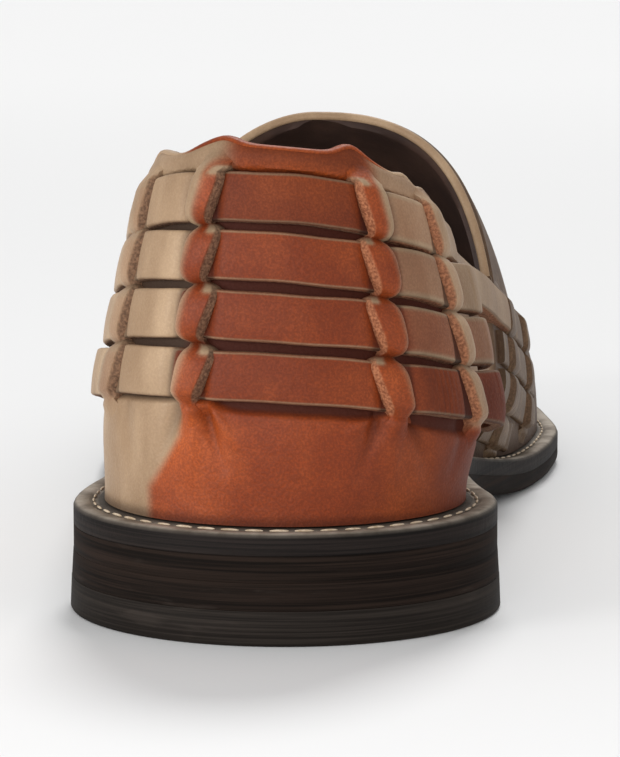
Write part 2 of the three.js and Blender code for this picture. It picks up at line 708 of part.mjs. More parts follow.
// The insole lies on the outsole inside the welt and fills the foot of the upper
const INSOLE_PLAY = 1.0;
function insole() {
  const core = () => WELT_INNER_INSET + INSOLE_PLAY;
  const flange = (a) => lerp(FEATHER_INSET_FORE, FEATHER_INSET_HEEL, heelShare(a)) + WALL + INSOLE_PLAY;
  return layer([
    ring(core, (a) => outsoleTop(a) + GAP),
    ring(core, featherZ),
    ring(flange, featherZ),
    ring(flange, (a) => featherZ(a) + INSOLE_PAD),
  ]);
}

const EDGE_MIDDLE = { inset: 0.25, rise: 0.4 };
const outsole = layer([
  ring(edgeRound, outsoleBottom),
  ring((a) => EDGE_MIDDLE.inset * edgeRound(a), (a) => outsoleBottom(a) + EDGE_MIDDLE.rise * edgeRound(a)),
  ring(() => 0, (a) => outsoleBottom(a) + edgeRound(a)),
  ring(() => 0, outsoleTop),
]);
const topPiece = heelLayer([
  { z: 0, flare: HEEL_FLARE - TOP_PIECE_BEVEL },
  { z: TOP_PIECE_BEVEL, flare: HEEL_FLARE },
  { z: TOP_PIECE_HEIGHT, flare: HEEL_FLARE / 2 },
]);
const lift = heelLayer([
  { z: TOP_PIECE_HEIGHT, flare: HEEL_FLARE / 2 },
  { z: HEEL_HEIGHT, flare: 0 },
]);

const shoe = new THREE.Group();
shoe.add(node('heel_top_piece', topPiece, RUBBER_GREY, 0.85));
shoe.add(node('heel_lift', lift, SOLE_BROWN, 0.6));
shoe.add(node('outsole', outsole, SOLE_BROWN, 0.6));
shoe.add(node('welt', weltRing(), WELT_TAN, 0.65));
shoe.add(node('insole', insole(), INSOLE_TAN, 0.7));
shoe.add(node('upper', upper(), REDDISH_TAN, 0.5));

export default shoe;
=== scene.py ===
"""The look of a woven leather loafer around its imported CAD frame.

A place on the upper is given by u, the way round the shoe in plan, and by the height z.
u is 0 at the back of the heel, positive round the inner side and negative round the outer side.
The station a is the distance forward of the back of the heel. Sizes are in millimetres, unless a
heading says otherwise, until a mesh is made.
"""

import math

import bpy
import numpy as np
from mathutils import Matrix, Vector


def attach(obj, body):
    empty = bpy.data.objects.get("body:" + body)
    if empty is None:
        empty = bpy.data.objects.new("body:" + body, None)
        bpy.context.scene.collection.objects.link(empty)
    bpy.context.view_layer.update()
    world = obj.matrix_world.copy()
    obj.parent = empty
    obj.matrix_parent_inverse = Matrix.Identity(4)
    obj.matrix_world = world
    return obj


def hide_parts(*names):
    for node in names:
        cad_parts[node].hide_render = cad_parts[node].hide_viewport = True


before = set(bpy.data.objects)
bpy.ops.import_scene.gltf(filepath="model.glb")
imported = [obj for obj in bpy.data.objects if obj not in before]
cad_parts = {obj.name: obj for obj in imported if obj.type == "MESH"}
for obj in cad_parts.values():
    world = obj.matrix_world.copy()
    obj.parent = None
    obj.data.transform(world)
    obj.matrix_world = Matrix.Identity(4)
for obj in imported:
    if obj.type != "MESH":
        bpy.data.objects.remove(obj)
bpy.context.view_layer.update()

# Main sizes, the same as the frame's apart from the straps' width
LENGTH = 296.0
AXIS_SHIFT = -4.7
MIDDLE = 147.7
HEEL_RADIUS = 36.6
HEEL_AXIS_X = -0.7
TOE_CENTRE = 258.0
TOE_TIP_X = 10.0
TOE_TURN_RADIUS = 32.0
GAP = 0.3
TOP_PIECE_HEIGHT = 5.8
HEEL_HEIGHT = 10.4
BREAST = 72.0
BREAST_HOLLOW = 5.0
SHANK_START = 75.0
SHANK_END = 165.0
TOE_ROLL = 205.0
TOE_SPRING = 11.0
OUTSOLE_FORE = 3.7
OUTSOLE_HEEL = 4.1
OUTSOLE_ROUND_FORE = 2.2
OUTSOLE_ROUND_HEEL = 0.12
WELT_FORE = 3.4
WELT_HEEL = 3.7
WELT_INNER_INSET = 9.1
INSOLE_PLAY = 1.0
INSOLE_PAD = 2.5
WALL = 2.2
FEATHER_INSET_HEEL = 7.2
FEATHER_INSET_FORE = 5.8
TUCK_HEIGHT = 16.0
BACK_LEAN = 0.45
COUNTER_STEP = 1.8
VAMP_STEP = 1.2
VAMP_BACK = 126.0
THROAT_BASE = 137.0
THROAT_TOP = 152.0
SIDE_END = 135.0
THROAT_FOOT = 160.0
STRAP_WIDTH = 8.15
TOP_STRAP_NARROW = 6.8
STRAP_PROUD = 3.1
STRAP_THICKNESS = 2.2
STRIP_WIDTH = 6.6
STRIP_PROUD = 2.5
SUNK = 0.5
TILT = 2.0
NEAR = 0.2

HALF_TURN = math.pi / 2
AROUND = HEEL_RADIUS * HALF_TURN - HEEL_RADIUS
HEEL_ARC = HEEL_RADIUS * HALF_TURN
TOE_START = HEEL_ARC + TOE_CENTRE - HEEL_RADIUS
TOE_END = TOE_START + TOE_TURN_RADIUS * HALF_TURN


def columns(names, *rows):
    """A table with named columns."""
    return {name: np.array(values, float) for name, values in zip(names.split(), zip(*rows))}


RIM = columns(
    "a inner outer",
    (36.6, 35.9, 37.3),
    (42, 35.3, 37.1),
    (50, 33.6, 36.2),
    (60, 32.1, 34.4),
    (75, 30.8, 33.0),
    (95, 30.6, 32.8),
    (115, 33.4, 34.4),
    (140, 41.0, 38.8),
    (160, 47.6, 42.4),
    (180, 52.4, 44.6),
    (200, 54.6, 45.2),
    (225, 52.4, 42.6),
    (245, 46.6, 37.2),
    (262, 39.0, 29.6),
)
SECTION = columns(
    "a ridge_x ridge_z tuck_inner tuck_outer power_inner power_outer",
    (36.6, -0.7, 130, 4.2, 1.7, 1.25, 1.33),
    (75, 0.0, 112, 6.2, 3.4, 1.8, 1.75),
    (110, 0.6, 97, 9.0, 6.0, 2.3, 2.1),
    (150, 1.7, 80, 3.4, 3.6, 2.5, 1.85),
    (185, 3.0, 60, -0.4, 1.8, 2.25, 2.0),
    (215, 4.2, 48, 1.2, 1.5, 2.2, 2.1),
    (245, 5.0, 40, 1.6, 1.4, 2.3, 2.3),
    (258, 5.2, 37.5, 1.6, 1.4, 2.4, 2.4),
)
COLLAR = columns(
    "a z",
    (0, 80.0),
    (5, 79.6),
    (14, 76.8),
    (24, 75.2),
    (34, 70.6),
    (45, 66.2),
    (60, 62.2),
    (100, 51.8),
    (137, 42.8),
)

# Small waves of the collar's edge: way round, rise and reach
COLLAR_WAVES = (
    (-16, 1.0, 5.0),
    (-29, -0.5, 5.0),
    (-45, 1.0, 5.0),
    (20, 1.5, 4.5),
    (38, 0.7, 3.0),
    (43, -1.2, 4.0),
)

# The straps from the top one down, and the strips woven through the vamp
# On the straps' inner side and tails, the pale columns paint a reflection and the dark columns paint
# shade.
STRAPS = columns(
    "top fall end lift_inner lift_outer pale_inner pale_tail dark_inner dark_tail",
    (76.2, 0.215, 140, 0.0, 0.0, 0.65, 0.85, 0.15, 0.25),
    (66.6, 0.170, 46, 2.3, 0.3, 0.60, 0.80, 0.28, 0.35),
    (56.9, 0.155, 50, 2.6, 0.6, 0.42, 0.55, 0.38, 0.45),
    (47.1, 0.135, 54, 3.2, 1.3, 0.05, 0.05, 0.60, 0.72),
)
STRIPS = columns("drop start end", (0.0, 134, 178), (7.7, 131, 186), (15.4, 131, 172), (23.0, 131, 156))

# The bands over the straps: name, side, near edge and far edge round the shoe, each at the top and the
# bottom strap, proudness, paleness, how far the near and the far edge run forward down each slit, and
# half the width of the dent in a strap
HEEL_BANDS = (
    ("outer_back", -1, (15.0, 13.6), (22.8, 20.6), 4.8, 0.15, (4.2, 1.8), 3.6),
    ("inner_back", 1, (19.4, 18.2), (26.4, 24.8), 4.8, 0.0, (3.6, 1.3), 3.2),
    ("outer_front", -1, (39.5, 39.5), (48.5, 49.0), 3.9, 0.7, (3.0, 1.8), 3.9),
    ("inner_front", 1, (41.5, 44.5), (48.0, 50.5), 4.1, 0.75, (3.0, 1.8), 2.5),
)
HEEL_BAND_NECK = 2.0

# The bands over the vamp's strips: both edges' stations and the number of strips
VAMP_BANDS = ((140, 148, 4), (164, 171, 3))
VAMP_BAND_NECK = 1.9
VAMP_BAND_PROUD = 3.4
VAMP_BAND_PALE = 0.9
VAMP_BAND_SLANT = (1.5, 1.5)

# Soft pulls in the counter's leather below the bands: both ends in u and z, reach across and depth
PULLS = (
    (-13.0, 37.6, -8.5, 32.5, 1.0, -1.0),
    (-14.6, 36.5, -11.0, 28.5, 1.4, 1.5),
    (-21.0, 38.5, -26.0, 27.0, 2.0, 1.6),
    (-17.0, 38.0, -18.0, 27.0, 1.8, -1.0),
    (17.6, 36.8, 13.4, 34.2, 1.0, -1.0),
    (18.6, 36.0, 15.5, 28.0, 1.4, 1.4),
    (25.5, 37.0, 31.0, 27.5, 2.0, 1.6),
    (21.5, 36.5, 22.0, 26.0, 1.8, -0.9),
    (-38.0, 37.0, -34.0, 29.0, 2.2, 0.8),
    (44.0, 33.0, 40.0, 26.0, 2.2, 0.8),
)


def read(table, key, at):
    """A smooth curve without overshoot through one column of a table."""
    x = table["a"]
    y = table[key]
    at = np.clip(np.asarray(at, float), x[0], x[-1])
    slope = np.diff(y) / np.diff(x)
    tangent = np.empty_like(y)
    tangent[0] = slope[0]
    tangent[-1] = slope[-1]
    product = slope[:-1] * slope[1:]
    total = slope[:-1] + slope[1:]
    tangent[1:-1] = np.where(product > 0, 2 * product / np.where(total == 0, 1, total), 0)
    i = np.clip(np.searchsorted(x, at, side="left") - 1, 0, len(x) - 2)
    width = x[i + 1] - x[i]
    t = (at - x[i]) / width
    rise = y[i + 1] - y[i]
    start = tangent[i] * width
    end = tangent[i + 1] * width
    return y[i] + t * (start + t * ((3 * rise - 2 * start - end) + t * (start + end - 2 * rise)))


def smooth(x, low, high):
    t = np.clip((x - low) / (high - low), 0, 1)
    return t * t * (3 - 2 * t)


def lerp(low, high, t):
    return low + (high - low) * t


def bell(x):
    return np.exp(-(x**2))


def dent(away, half, blur):
    """1 up to half from the middle, then falling softly to 0."""
    return bell(np.maximum(0, np.abs(away) - half) / blur)


def heel_share(a):
    return 1 - smooth(a, SHANK_START, SHANK_END)


def outsole_bottom(a):
    lift = TOE_SPRING * np.maximum(0, (a - TOE_ROLL) / (LENGTH - TOE_ROLL)) ** 2
    return HEEL_HEIGHT * heel_share(a) + lift


def outsole_top(a):
    return outsole_bottom(a) + lerp(OUTSOLE_FORE, OUTSOLE_HEEL, heel_share(a))


def welt_bottom(a):
    return outsole_top(a) + GAP


def welt_top(a):
    return welt_bottom(a) + lerp(WELT_FORE, WELT_HEEL, heel_share(a))


def feather_z(a):
    return welt_top(a) + GAP


def station_of(u):
    return np.clip(np.abs(u) - AROUND, HEEL_RADIUS, TOE_CENTRE)


def rim_x(side, a):
    return np.where(side > 0, read(RIM, "inner", a), -read(RIM, "outer", a))


def rim_point(u):
    """The sole's edge in plan: x and station."""
    u = np.asarray(u, float)
    side = np.where(u >= 0, 1.0, -1.0)
    along = np.abs(u)
    turn = np.minimum(along, HEEL_ARC) / HEEL_RADIUS
    a = station_of(u)
    lean = (rim_x(side, TOE_CENTRE) - rim_x(side, TOE_CENTRE - 0.5)) / 0.5
    reach = (LENGTH - TOE_CENTRE) * 0.5
    t = np.clip((along - TOE_START) / (TOE_END - TOE_START), 0, 1)

    def bow(p, q, r, s):
        return (1 - t) ** 3 * p + 3 * (1 - t) ** 2 * t * q + 3 * (1 - t) * t * t * r + t**3 * s

    start = rim_x(side, TOE_CENTRE)
    toe_x = bow(start, start + lean * reach, TOE_TIP_X + side * TOE_TURN_RADIUS * 0.62, TOE_TIP_X)
    toe_a = bow(TOE_CENTRE, TOE_CENTRE + reach, LENGTH, LENGTH)
    heel_x = HEEL_AXIS_X + side * HEEL_RADIUS * np.sin(turn)
    heel_a = HEEL_RADIUS * (1 - np.cos(turn))
    at_heel = along <= HEEL_ARC
    at_side = along <= TOE_START
    x = np.where(at_heel, heel_x, np.where(at_side, rim_x(side, a), toe_x))
    return x, np.where(at_heel, heel_a, np.where(at_side, a, toe_a))


def ridge_x(a):
    return read(SECTION, "ridge_x", a)


def ridge_z(a):
    return read(SECTION, "ridge_z", a)


def inset_point(u, inset):
    x, a = rim_point(u)
    ka = station_of(u)
    kx = ridge_x(ka)
    reach = np.hypot(kx - x, ka - a)
    return x + (kx - x) / reach * inset, a + (ka - a) / reach * inset


def feather_inset(a):
    return lerp(FEATHER_INSET_FORE, FEATHER_INSET_HEEL, heel_share(a))


def foot_z(u):
    return feather_z(inset_point(u, feather_inset(station_of(u)) - VAMP_STEP)[1])


def vamp_share(a):
    return smooth(a, VAMP_BACK, VAMP_BACK + 1.2)


def per_side(name, u):
    """A column of the sections for each side, blended softly round the back of the heel."""
    a = station_of(u)
    return lerp(read(SECTION, name + "_outer", a), read(SECTION, name + "_inner", a), smooth(u, -24, 24))


def turn_at(u, z):
    """Turn of the cross section at a height: 0 at the foot, a quarter turn on the ridge."""
    foot = foot_z(u)
    share = np.clip((z - foot) / (ridge_z(station_of(u)) - foot), 0, 1)
    return np.arcsin(share ** (per_side("power", u) / 2))


def last_point(u, turn):
    a = station_of(u)
    power = per_side("power", u)
    tuck = per_side("tuck", u)
    bx, ba = inset_point(u, feather_inset(a))
    kx = ridge_x(a)
    foot = foot_z(u)
    rise = (ridge_z(a) - foot) * np.sin(turn) ** (2 / power)
    across = np.maximum(np.cos(turn), 0) ** (2 / power)
    reach = np.hypot(bx - kx, ba - a)
    full = (reach + tuck * smooth(rise, 0, TUCK_HEIGHT)) * across
    lean = np.where(a - ba > 0, BACK_LEAN, 1.0)
    back = 1 - (1 - full / reach) * lean
    return np.stack([kx + (bx - kx) / reach * full, a + (ba - a) * back, foot + rise], -1)


def unit(v):
    return v / np.linalg.norm(v, axis=-1, keepdims=True)


def last_normal(u, turn):
    side = np.where(u >= 0, 1.0, -1.0)
    first, last = NEAR, TOE_END - NEAR
    way = np.clip(np.abs(u), first, last)
    along = last_point(side * (way + NEAR), turn) - last_point(side * (way - NEAR), turn)
    up = last_point(side * way, turn + 0.01) - last_point(side * way, np.maximum(turn - 0.01, 0))
    normal = unit(np.cross(along, up) * side[..., None] + 1e-12)
    a = station_of(u)
    bx, ba = inset_point(u, feather_inset(a))
    kx = ridge_x(a)
    inward = normal[..., 0] * (bx - kx) + normal[..., 1] * (ba - a) < 0
    normal = np.where(inward[..., None], -normal, normal)
    normal[..., 0] = np.where((way == first) | (way == last), 0, normal[..., 0])
    normal[..., 2] *= np.clip((last_point(u, turn)[..., 2] - foot_z(u)) / 8, 0, 1)
    fall = ridge_z(np.minimum(a + 1, TOE_CENTRE)) - ridge_z(a - 1)
    crest = unit(np.stack([np.zeros_like(a), -fall / 2, np.ones_like(a)], -1))
    near = smooth(turn, HALF_TURN - 0.12, HALF_TURN - 0.02)[..., None]
    return unit(unit(normal) * (1 - near) + crest * near)


def on_upper(u, turn, off):
    u, turn, off = np.broadcast_arrays(np.asarray(u, float), turn, off)
    return last_point(u, turn) + last_normal(u, turn) * off[..., None]


def at_height(u, z, off):
    u, z = np.broadcast_arrays(np.asarray(u, float), z)
    return on_upper(u, turn_at(u, z), off)


def tilt(u):
    return TILT * np.clip(u / 40, -1, 1) * (1 - smooth(station_of(u), 40, 130))


def collar_z(u):
    waves = sum(rise * bell((u - at) / reach) for at, rise, reach in COLLAR_WAVES)
    return read(COLLAR, "z", rim_point(u)[1]) - tilt(u) + waves


def strap_height(row, u, t):
    """Height across a strap, t from 0 at its lower to 1 at its upper edge."""
    a = rim_point(u)[1]
    top = STRAPS["top"][row] - STRAPS["fall"][row] * a - 0.0002 * a * a - tilt(u)
    width = lerp(STRAP_WIDTH, TOP_STRAP_NARROW, smooth(a, 20, 45)) if row == 0 else STRAP_WIDTH
    sway = 0.09 * np.sin(u / 6.1 + 2.3 * row) + 0.05 * np.sin(u / 2.7 + 1.1 * row)
    return top + sway - width * (1 - t)


def strip_height(row, u, t):
    return strap_height(0, u, 1.0) - STRIPS["drop"][row] - STRIP_WIDTH * (1 - t)


# Meshes

SHARP_FROM = 38


def signed_volume(points, faces):
    total = 0.0
    for face in faces:
        a = points[face[:, 0]]
        for k in range(1, face.shape[1] - 1):
            total += np.einsum("ij,ij->", a, np.cross(points[face[:, k]], points[face[:, k + 1]]))
    return total


def placed(points):
    """Points of the shoe in the frame's metres."""
    return (points + np.array([AXIS_SHIFT, -MIDDLE, 0.0])) / 1000


def add_object(name, data):
    item = bpy.data.objects.new(name, data)
    bpy.context.scene.collection.objects.link(item)
    return item


def make_piece(name, points, faces, materials, attributes=None, face_materials=None):
    """A closed mesh in metres, with its faces turned out, riding on the shoe."""
    if signed_volume(points, [np.asarray(f) for f in faces]) < 0:
        faces = [np.asarray(f)[:, ::-1] for f in faces]
    mesh = bpy.data.meshes.new(name)
    mesh.from_pydata(placed(points).tolist(), [], [row for f in faces for row in np.asarray(f).tolist()])
    for key, values in (attributes or {}).items():
        layer = mesh.attributes.new(key, "FLOAT", "POINT")
        layer.data.foreach_set("value", np.asarray(values, np.float32).ravel())
    for material in materials:
        mesh.materials.append(material)
    if face_materials is not None:
        mesh.polygons.foreach_set("material_index", face_materials)
    mesh.update()
    mesh.shade_smooth()
    mesh.set_sharp_from_angle(angle=math.radians(SHARP_FROM))
    piece = add_object(name, mesh)
    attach(piece, "root")
    return piece


def slab(u, z, high, low=-SUNK, **values):
    """Points, faces and attributes of a closed sheet that lies on the last from low to high above it.

    A value is a pair: what the upper grid gets, from 0 to 1, and one number for the lower grid."""
    high = at_height(u, z, high)
    low = at_height(u, z, low)
    rows, cols = high.shape[:2]
    count = rows * cols
    grid = np.arange(count).reshape(rows, cols)
    faces = np.stack([grid[:-1, :-1], grid[:-1, 1:], grid[1:, 1:], grid[1:, :-1]], -1).reshape(-1, 4)
    rim = np.concatenate([grid[0, :-1], grid[:-1, -1], grid[-1, :0:-1], grid[:0:-1, 0]])
    after = np.roll(rim, -1)
    side = np.stack([rim, rim + count, after + count, after], -1)
    points = np.concatenate([high.reshape(-1, 3), low.reshape(-1, 3)])
    attributes = {}
    for key, (top, under) in values.items():
        top = np.broadcast_to(np.clip(top, 0, 1), (rows, cols)).ravel()
        attributes[key] = np.concatenate([top, np.full(count, under)])
    return points, [faces, (faces + count)[:, ::-1], side], attributes


def join(parts):
    """Several closed sheets as one set of points, faces and attributes."""
    points = np.concatenate([p for p, _, _ in parts])
    faces = []
    start = 0
    for own, lists, _ in parts:
        faces += [f + start for f in lists]
        start += len(own)
    keys = parts[0][2].keys()
    return points, faces, {k: np.concatenate([a[k] for _, _, a in parts]) for k in keys}


def leather_piece(name, sheet):
    points, faces, values = sheet
    make_piece(name, points, faces, [LEATHER], values)


def stacked(rings):
    """Side faces between rings that follow each other."""
    count = len(rings[0])
    j = np.arange(count)
    n = (j + 1) % count
    return [
        np.stack([i * count + j, i * count + n, (i + 1) * count + n, (i + 1) * count + j], -1)
        for i in range(len(rings) - 1)
    ]


def tube(rings):
    """Side faces between rings of which the last joins the first."""
    total = len(rings) * len(rings[0])
    return [faces % total for faces in stacked([*rings, rings[0]])]


def rounded(t, radius, depth):
    """Fall of a sheet's face towards its edges, t from -1 to 1 across."""
    over = np.clip((np.abs(t) - (1 - radius)) / radius, 0, 1)
    return depth * (1 - np.sqrt(np.maximum(0, 1 - over * over)))


def pale_side(u, z):
    """How pale the counter is: a painted reflection of a broad light on the outer side beyond a soft
    slanting line, and a painted highlight near the collar on the inner side.
    """
    line = 21 + np.clip(33 - z, 0, 9) * 0.83 - 7 * smooth(z, 68, 76)
    blur = 3.5 + 4 * smooth(z, 66, 74)
    inner = 0.7 * smooth(u, 20, 28) * smooth(z, 66, 69)
    return smooth(-u, line - blur, line + blur) + inner


# Shader helpers

SOFT = {"interpolation_type": "SMOOTHSTEP"}


class Value:
    """A number in a shader that can be added, multiplied and so on."""

    def __init__(self, tree, socket):
        self.tree = tree
        self.socket = socket

    def _with(self, operation, other, swap=False):
        node = self.tree.nodes.new("ShaderNodeMath")
        node.operation = operation
        pair = (other, self) if swap else (self, other)
        for slot_in, item in zip(node.inputs, pair):
            put(self.tree, slot_in, item)
        return Value(self.tree, node.outputs[0])

    def __add__(self, other):
        return self._with("ADD", other)

    __radd__ = __add__

    def __mul__(self, other):
        return self._with("MULTIPLY", other)

    __rmul__ = __mul__

    def __sub__(self, other):
        return self._with("SUBTRACT", other)

    def __rsub__(self, other):
        return self._with("SUBTRACT", other, swap=True)

    def maximum(self, other):
        return self._with("MAXIMUM", other)


def put(tree, slot_in, item):
    """Links a value or a socket, or sets a constant."""
    if isinstance(item, Value):
        tree.links.new(item.socket, slot_in)
    elif isinstance(item, bpy.types.NodeSocket):
        tree.links.new(item, slot_in)
    else:
        slot_in.default_value = item


def add_node(tree, kind, settings=(), **inputs):
    """A node with its settings, such as an operation, and the values or links of its sockets."""
    node = tree.nodes.new(kind)
    for key, value in dict(settings).items():
        setattr(node, key, value)
    for key, item in inputs.items():
        put(tree, node.inputs[key.replace("_", " ")], item)
    return node


class Shader:
    """A material's node tree."""

    def __init__(self, name, roughness=0.5):
        self.material = bpy.data.materials.new(name)
        self.material.use_nodes = True
        self.tree = self.material.node_tree
        self.surface = self.tree.nodes["Principled BSDF"]
        self.set("Roughness", roughness)
        self.place = self.node("ShaderNodeTexCoord").outputs["Object"]

    def set(self, name, item):
        put(self.tree, self.surface.inputs[name], item)

    def node(self, kind, settings=(), **inputs):
        return add_node(self.tree, kind, settings, **inputs)

    def value(self, socket):
        return Value(self.tree, socket)

    def attribute(self, name):
        return self.value(self.node("ShaderNodeAttribute", {"attribute_name": name}).outputs["Fac"])

    def parts(self):
        """The place's x, y and z."""
        split = self.node("ShaderNodeSeparateXYZ", Vector=self.place)
        return [self.value(socket) for socket in split.outputs]

    def noise(self, scale, detail, roughness=0.55, place=None):
        made = self.node(
            "ShaderNodeTexNoise",
            Vector=place or self.place,
            Scale=scale,
            Detail=detail,
            Roughness=roughness,
        )
        return self.value(made.outputs["Fac"])

    def streaks(self, x, y, z, detail, roughness=0.55):
        """Noise with a scale of its own along each axis."""
        turned = self.node("ShaderNodeMapping", Vector=self.place, Scale=(x, y, z))
        return self.noise(1.0, detail, roughness, turned.outputs["Vector"])

    def layers(self):
        """The fine level lines of a sole's edge."""
        return self.streaks(14, 14, 1500, 4, 0.7)

    def cells(self, scale):
        made = self.node("ShaderNodeTexVoronoi", {"feature": "SMOOTH_F1"}, Vector=self.place, Scale=scale)
        return self.value(made.outputs["Distance"])

    def between(self, value, low, high):
        made = self.node("ShaderNodeMapRange", SOFT, Value=value, From_Min=low, From_Max=high)
        return self.value(made.outputs["Result"])

    def mix(self, share, first, second):
        node = self.node("ShaderNodeMix", {"data_type": "RGBA"})
        for place, item in ((0, share), (6, first), (7, second)):
            if isinstance(item, tuple):
                item = (*item, 1.0)
            put(self.tree, node.inputs[place], item)
        return node.outputs[2]

    def bump(self, height, depth_mm, strength):
        made = self.node("ShaderNodeBump", Height=height, Strength=strength, Distance=depth_mm / 1000)
        self.set("Normal", made.outputs["Normal"])


def leather():
    """The upper's leather: red brown at the back, pale on the side with a painted reflection, dark on cut
    edges, and darkened by painted shade in recesses.
    """
    s = Shader("upper_leather")
    pale = s.attribute("pale")
    edge = s.attribute("edge")
    shade = s.attribute("shade")
    cloud = s.noise(38, 4)
    streak = s.streaks(90, 90, 30, 3)
    red = s.mix(s.between(cloud, 0.35, 0.68), (0.235, 0.037, 0.006), (0.45, 0.088, 0.0145))
    # Random lighter patches of wear.
    wear_and_highlight = s.between(s.streaks(110, 110, 170, 4, 0.6), 0.42, 0.8)
    red = s.mix(wear_and_highlight * 0.25, red, (0.55, 0.12, 0.025))
    # Tan, where the pale attribute is high: mostly a painted reflection and painted highlights, and on
    # the vamp its own woven tone.
    tan = s.mix(s.between(streak, 0.3, 0.72), (0.31, 0.20, 0.115), (0.47, 0.325, 0.20))
    share = s.between(pale + (cloud - 0.5) * 0.35, 0.12, 0.88)
    base = s.mix(share, red, tan)
    grain = s.cells(1500)
    fleck = s.noise(2600, 2)
    base = s.mix(s.between(fleck, 0.3, 0.62) * (0.36 - share * 0.25), base, (0.06, 0.014, 0.006))
    vamp = s.attribute("vamp")
    mottled = s.between(s.streaks(420, 420, 190, 4, 0.65), 0.5, 0.68)
    base = s.mix(vamp * 0.8, base, (0.05, 0.024, 0.011))
    base = s.mix(vamp * mottled * 0.22, base, (0.45, 0.29, 0.15))
    # Painted shade: the shade attribute darkens recesses, gaps, folds, undersides and the sides turned
    # from the light.
    base = s.mix(shade, base, s.mix(share, (0.045, 0.007, 0.002), (0.035, 0.017, 0.010)))
    fibre = s.between(s.noise(2000, 2), 0.3, 0.75)
    # Cut edges are dark brown; on the inner side they take a lighter copper copy, painted light falling
    # on them.
    copper = s.mix(fibre, (0.20, 0.065, 0.03), (0.48, 0.19, 0.09))
    cut = s.mix(fibre, (0.085, 0.045, 0.027), (0.24, 0.13, 0.075))
    at_inner = s.between(s.parts()[0], 0.0, 0.008) * (1 - shade) * (1 - vamp)
    base = s.mix(edge * (1 - vamp * 0.6), base, s.mix(at_inner, cut, copper))
    s.set("Base Color", base)
    s.set("Roughness", 0.38 + edge * 0.35 + shade * 0.25 + fleck * 0.2)
    s.set("Specular IOR Level", 0.22)
    height = fibre * edge * 0.7 + s.noise(170, 3) * 0.3 + fleck * 0.4 - grain * (1 - edge) * 0.5
    s.bump(height, 0.16, 0.8)
    return s.material


def plain_leather(name, dark, light, roughness, scale=60.0, depth=0.12):
    s = Shader(name, roughness)
    s.set("Base Color", s.mix(s.between(s.noise(scale, 4), 0.35, 0.68), dark, light))
    s.bump(s.cells(1000) * 0.5 + s.noise(900, 3) * 0.5, depth, 0.8)
    return s.material


def sole_edge(name, dark, light, roughness):
    """Dyed layers of leather on edge: fine level lines and scuffs."""
    s = Shader(name, roughness)
    s.set("Specular IOR Level", 0.05)
    lines = s.layers()
    scuff = s.between(s.streaks(60, 60, 420, 5, 0.6), 0.58, 0.72)
    base = s.mix(s.between(lines, 0.36, 0.66), dark, light)
    s.set("Base Color", s.mix(scuff * 0.1, base, (0.12, 0.095, 0.08)))
    s.set("Roughness", roughness - 0.08 + lines * 0.3)
    s.bump(lines + s.noise(800, 2) * 0.3, 0.12, 0.7)
    return s.material


def welt_leather():
    """The welt's top face is grey beige and darkened by painted shade towards the upper; its edge is
    dyed.
    """
    s = Shader("welt_leather", 0.62)
    edge = s.attribute("edge")
    shade = s.attribute("shade")
    s.set("Specular IOR Level", 0.1)
    top = s.mix(s.between(s.noise(110, 5, 0.65), 0.34, 0.66), (0.19, 0.155, 0.12), (0.42, 0.365, 0.30))
    # Painted shade towards the upper.
    top = s.mix(shade, top, (0.03, 0.022, 0.017))
    lines = s.layers()
    side = s.mix(s.between(lines, 0.36, 0.66), (0.005, 0.0036, 0.003), (0.019, 0.0135, 0.0115))
    s.set("Base Color", s.mix(edge, top, side))
    s.bump(s.noise(700, 4) + lines * edge * 0.6, 0.12, 0.7)
    return s.material


LEATHER = leather()
LINING = plain_leather("lining", (0.035, 0.017, 0.012), (0.075, 0.038, 0.025), 0.62)
INSOLE = plain_leather("insole_leather", (0.10, 0.055, 0.03), (0.17, 0.10, 0.06), 0.55)
SOLE = sole_edge("sole_edge", (0.006, 0.004, 0.003), (0.022, 0.014, 0.0105), 0.62)
RUBBER = sole_edge("heel_rubber", (0.012, 0.0095, 0.008), (0.03, 0.024, 0.02), 0.55)
WELT = welt_leather()
THREAD = plain_leather("thread", (0.45, 0.34, 0.22), (0.68, 0.56, 0.42), 0.7, 900.0, 0.05)


# The upper's wall


def wall_columns():
    """Foot, head and share of the way up to the ridge of each column of one side."""
    heel = np.linspace(0, HEEL_ARC, 40, endpoint=False)
    at_vamp = np.linspace(VAMP_BACK - 0.4, VAMP_BACK + 1.8, 6)
    side_foot = np.unique(np.concatenate([np.linspace(HEEL_RADIUS, SIDE_END, 80), at_vamp]))
    side_head = side_foot + 1.5 * smooth(side_foot, 124, SIDE_END)
    t = np.linspace(0, 1, 31)[1:]
    throat_head = lerp(THROAT_BASE, THROAT_TOP, np.sin(t * HALF_TURN))
    throat_foot = lerp(SIDE_END, THROAT_FOOT, t)
    ridge_t = np.linspace(0, 1, 64)[1:]
    ridge_head = lerp(THROAT_TOP, TOE_CENTRE, ridge_t)
    ridge_foot = lerp(THROAT_FOOT, TOE_CENTRE, ridge_t)
    toe = np.linspace(TOE_START, TOE_END, 33)[1:]
    foot = np.concatenate([heel, side_foot + AROUND, throat_foot + AROUND, ridge_foot + AROUND, toe])
    head = np.concatenate([heel, side_head + AROUND, throat_head + AROUND, ridge_head + AROUND, toe])
    rise = np.concatenate([np.zeros(len(heel) + len(side_foot)), t, np.ones(len(ridge_t) + len(toe))])
    return foot, head, rise


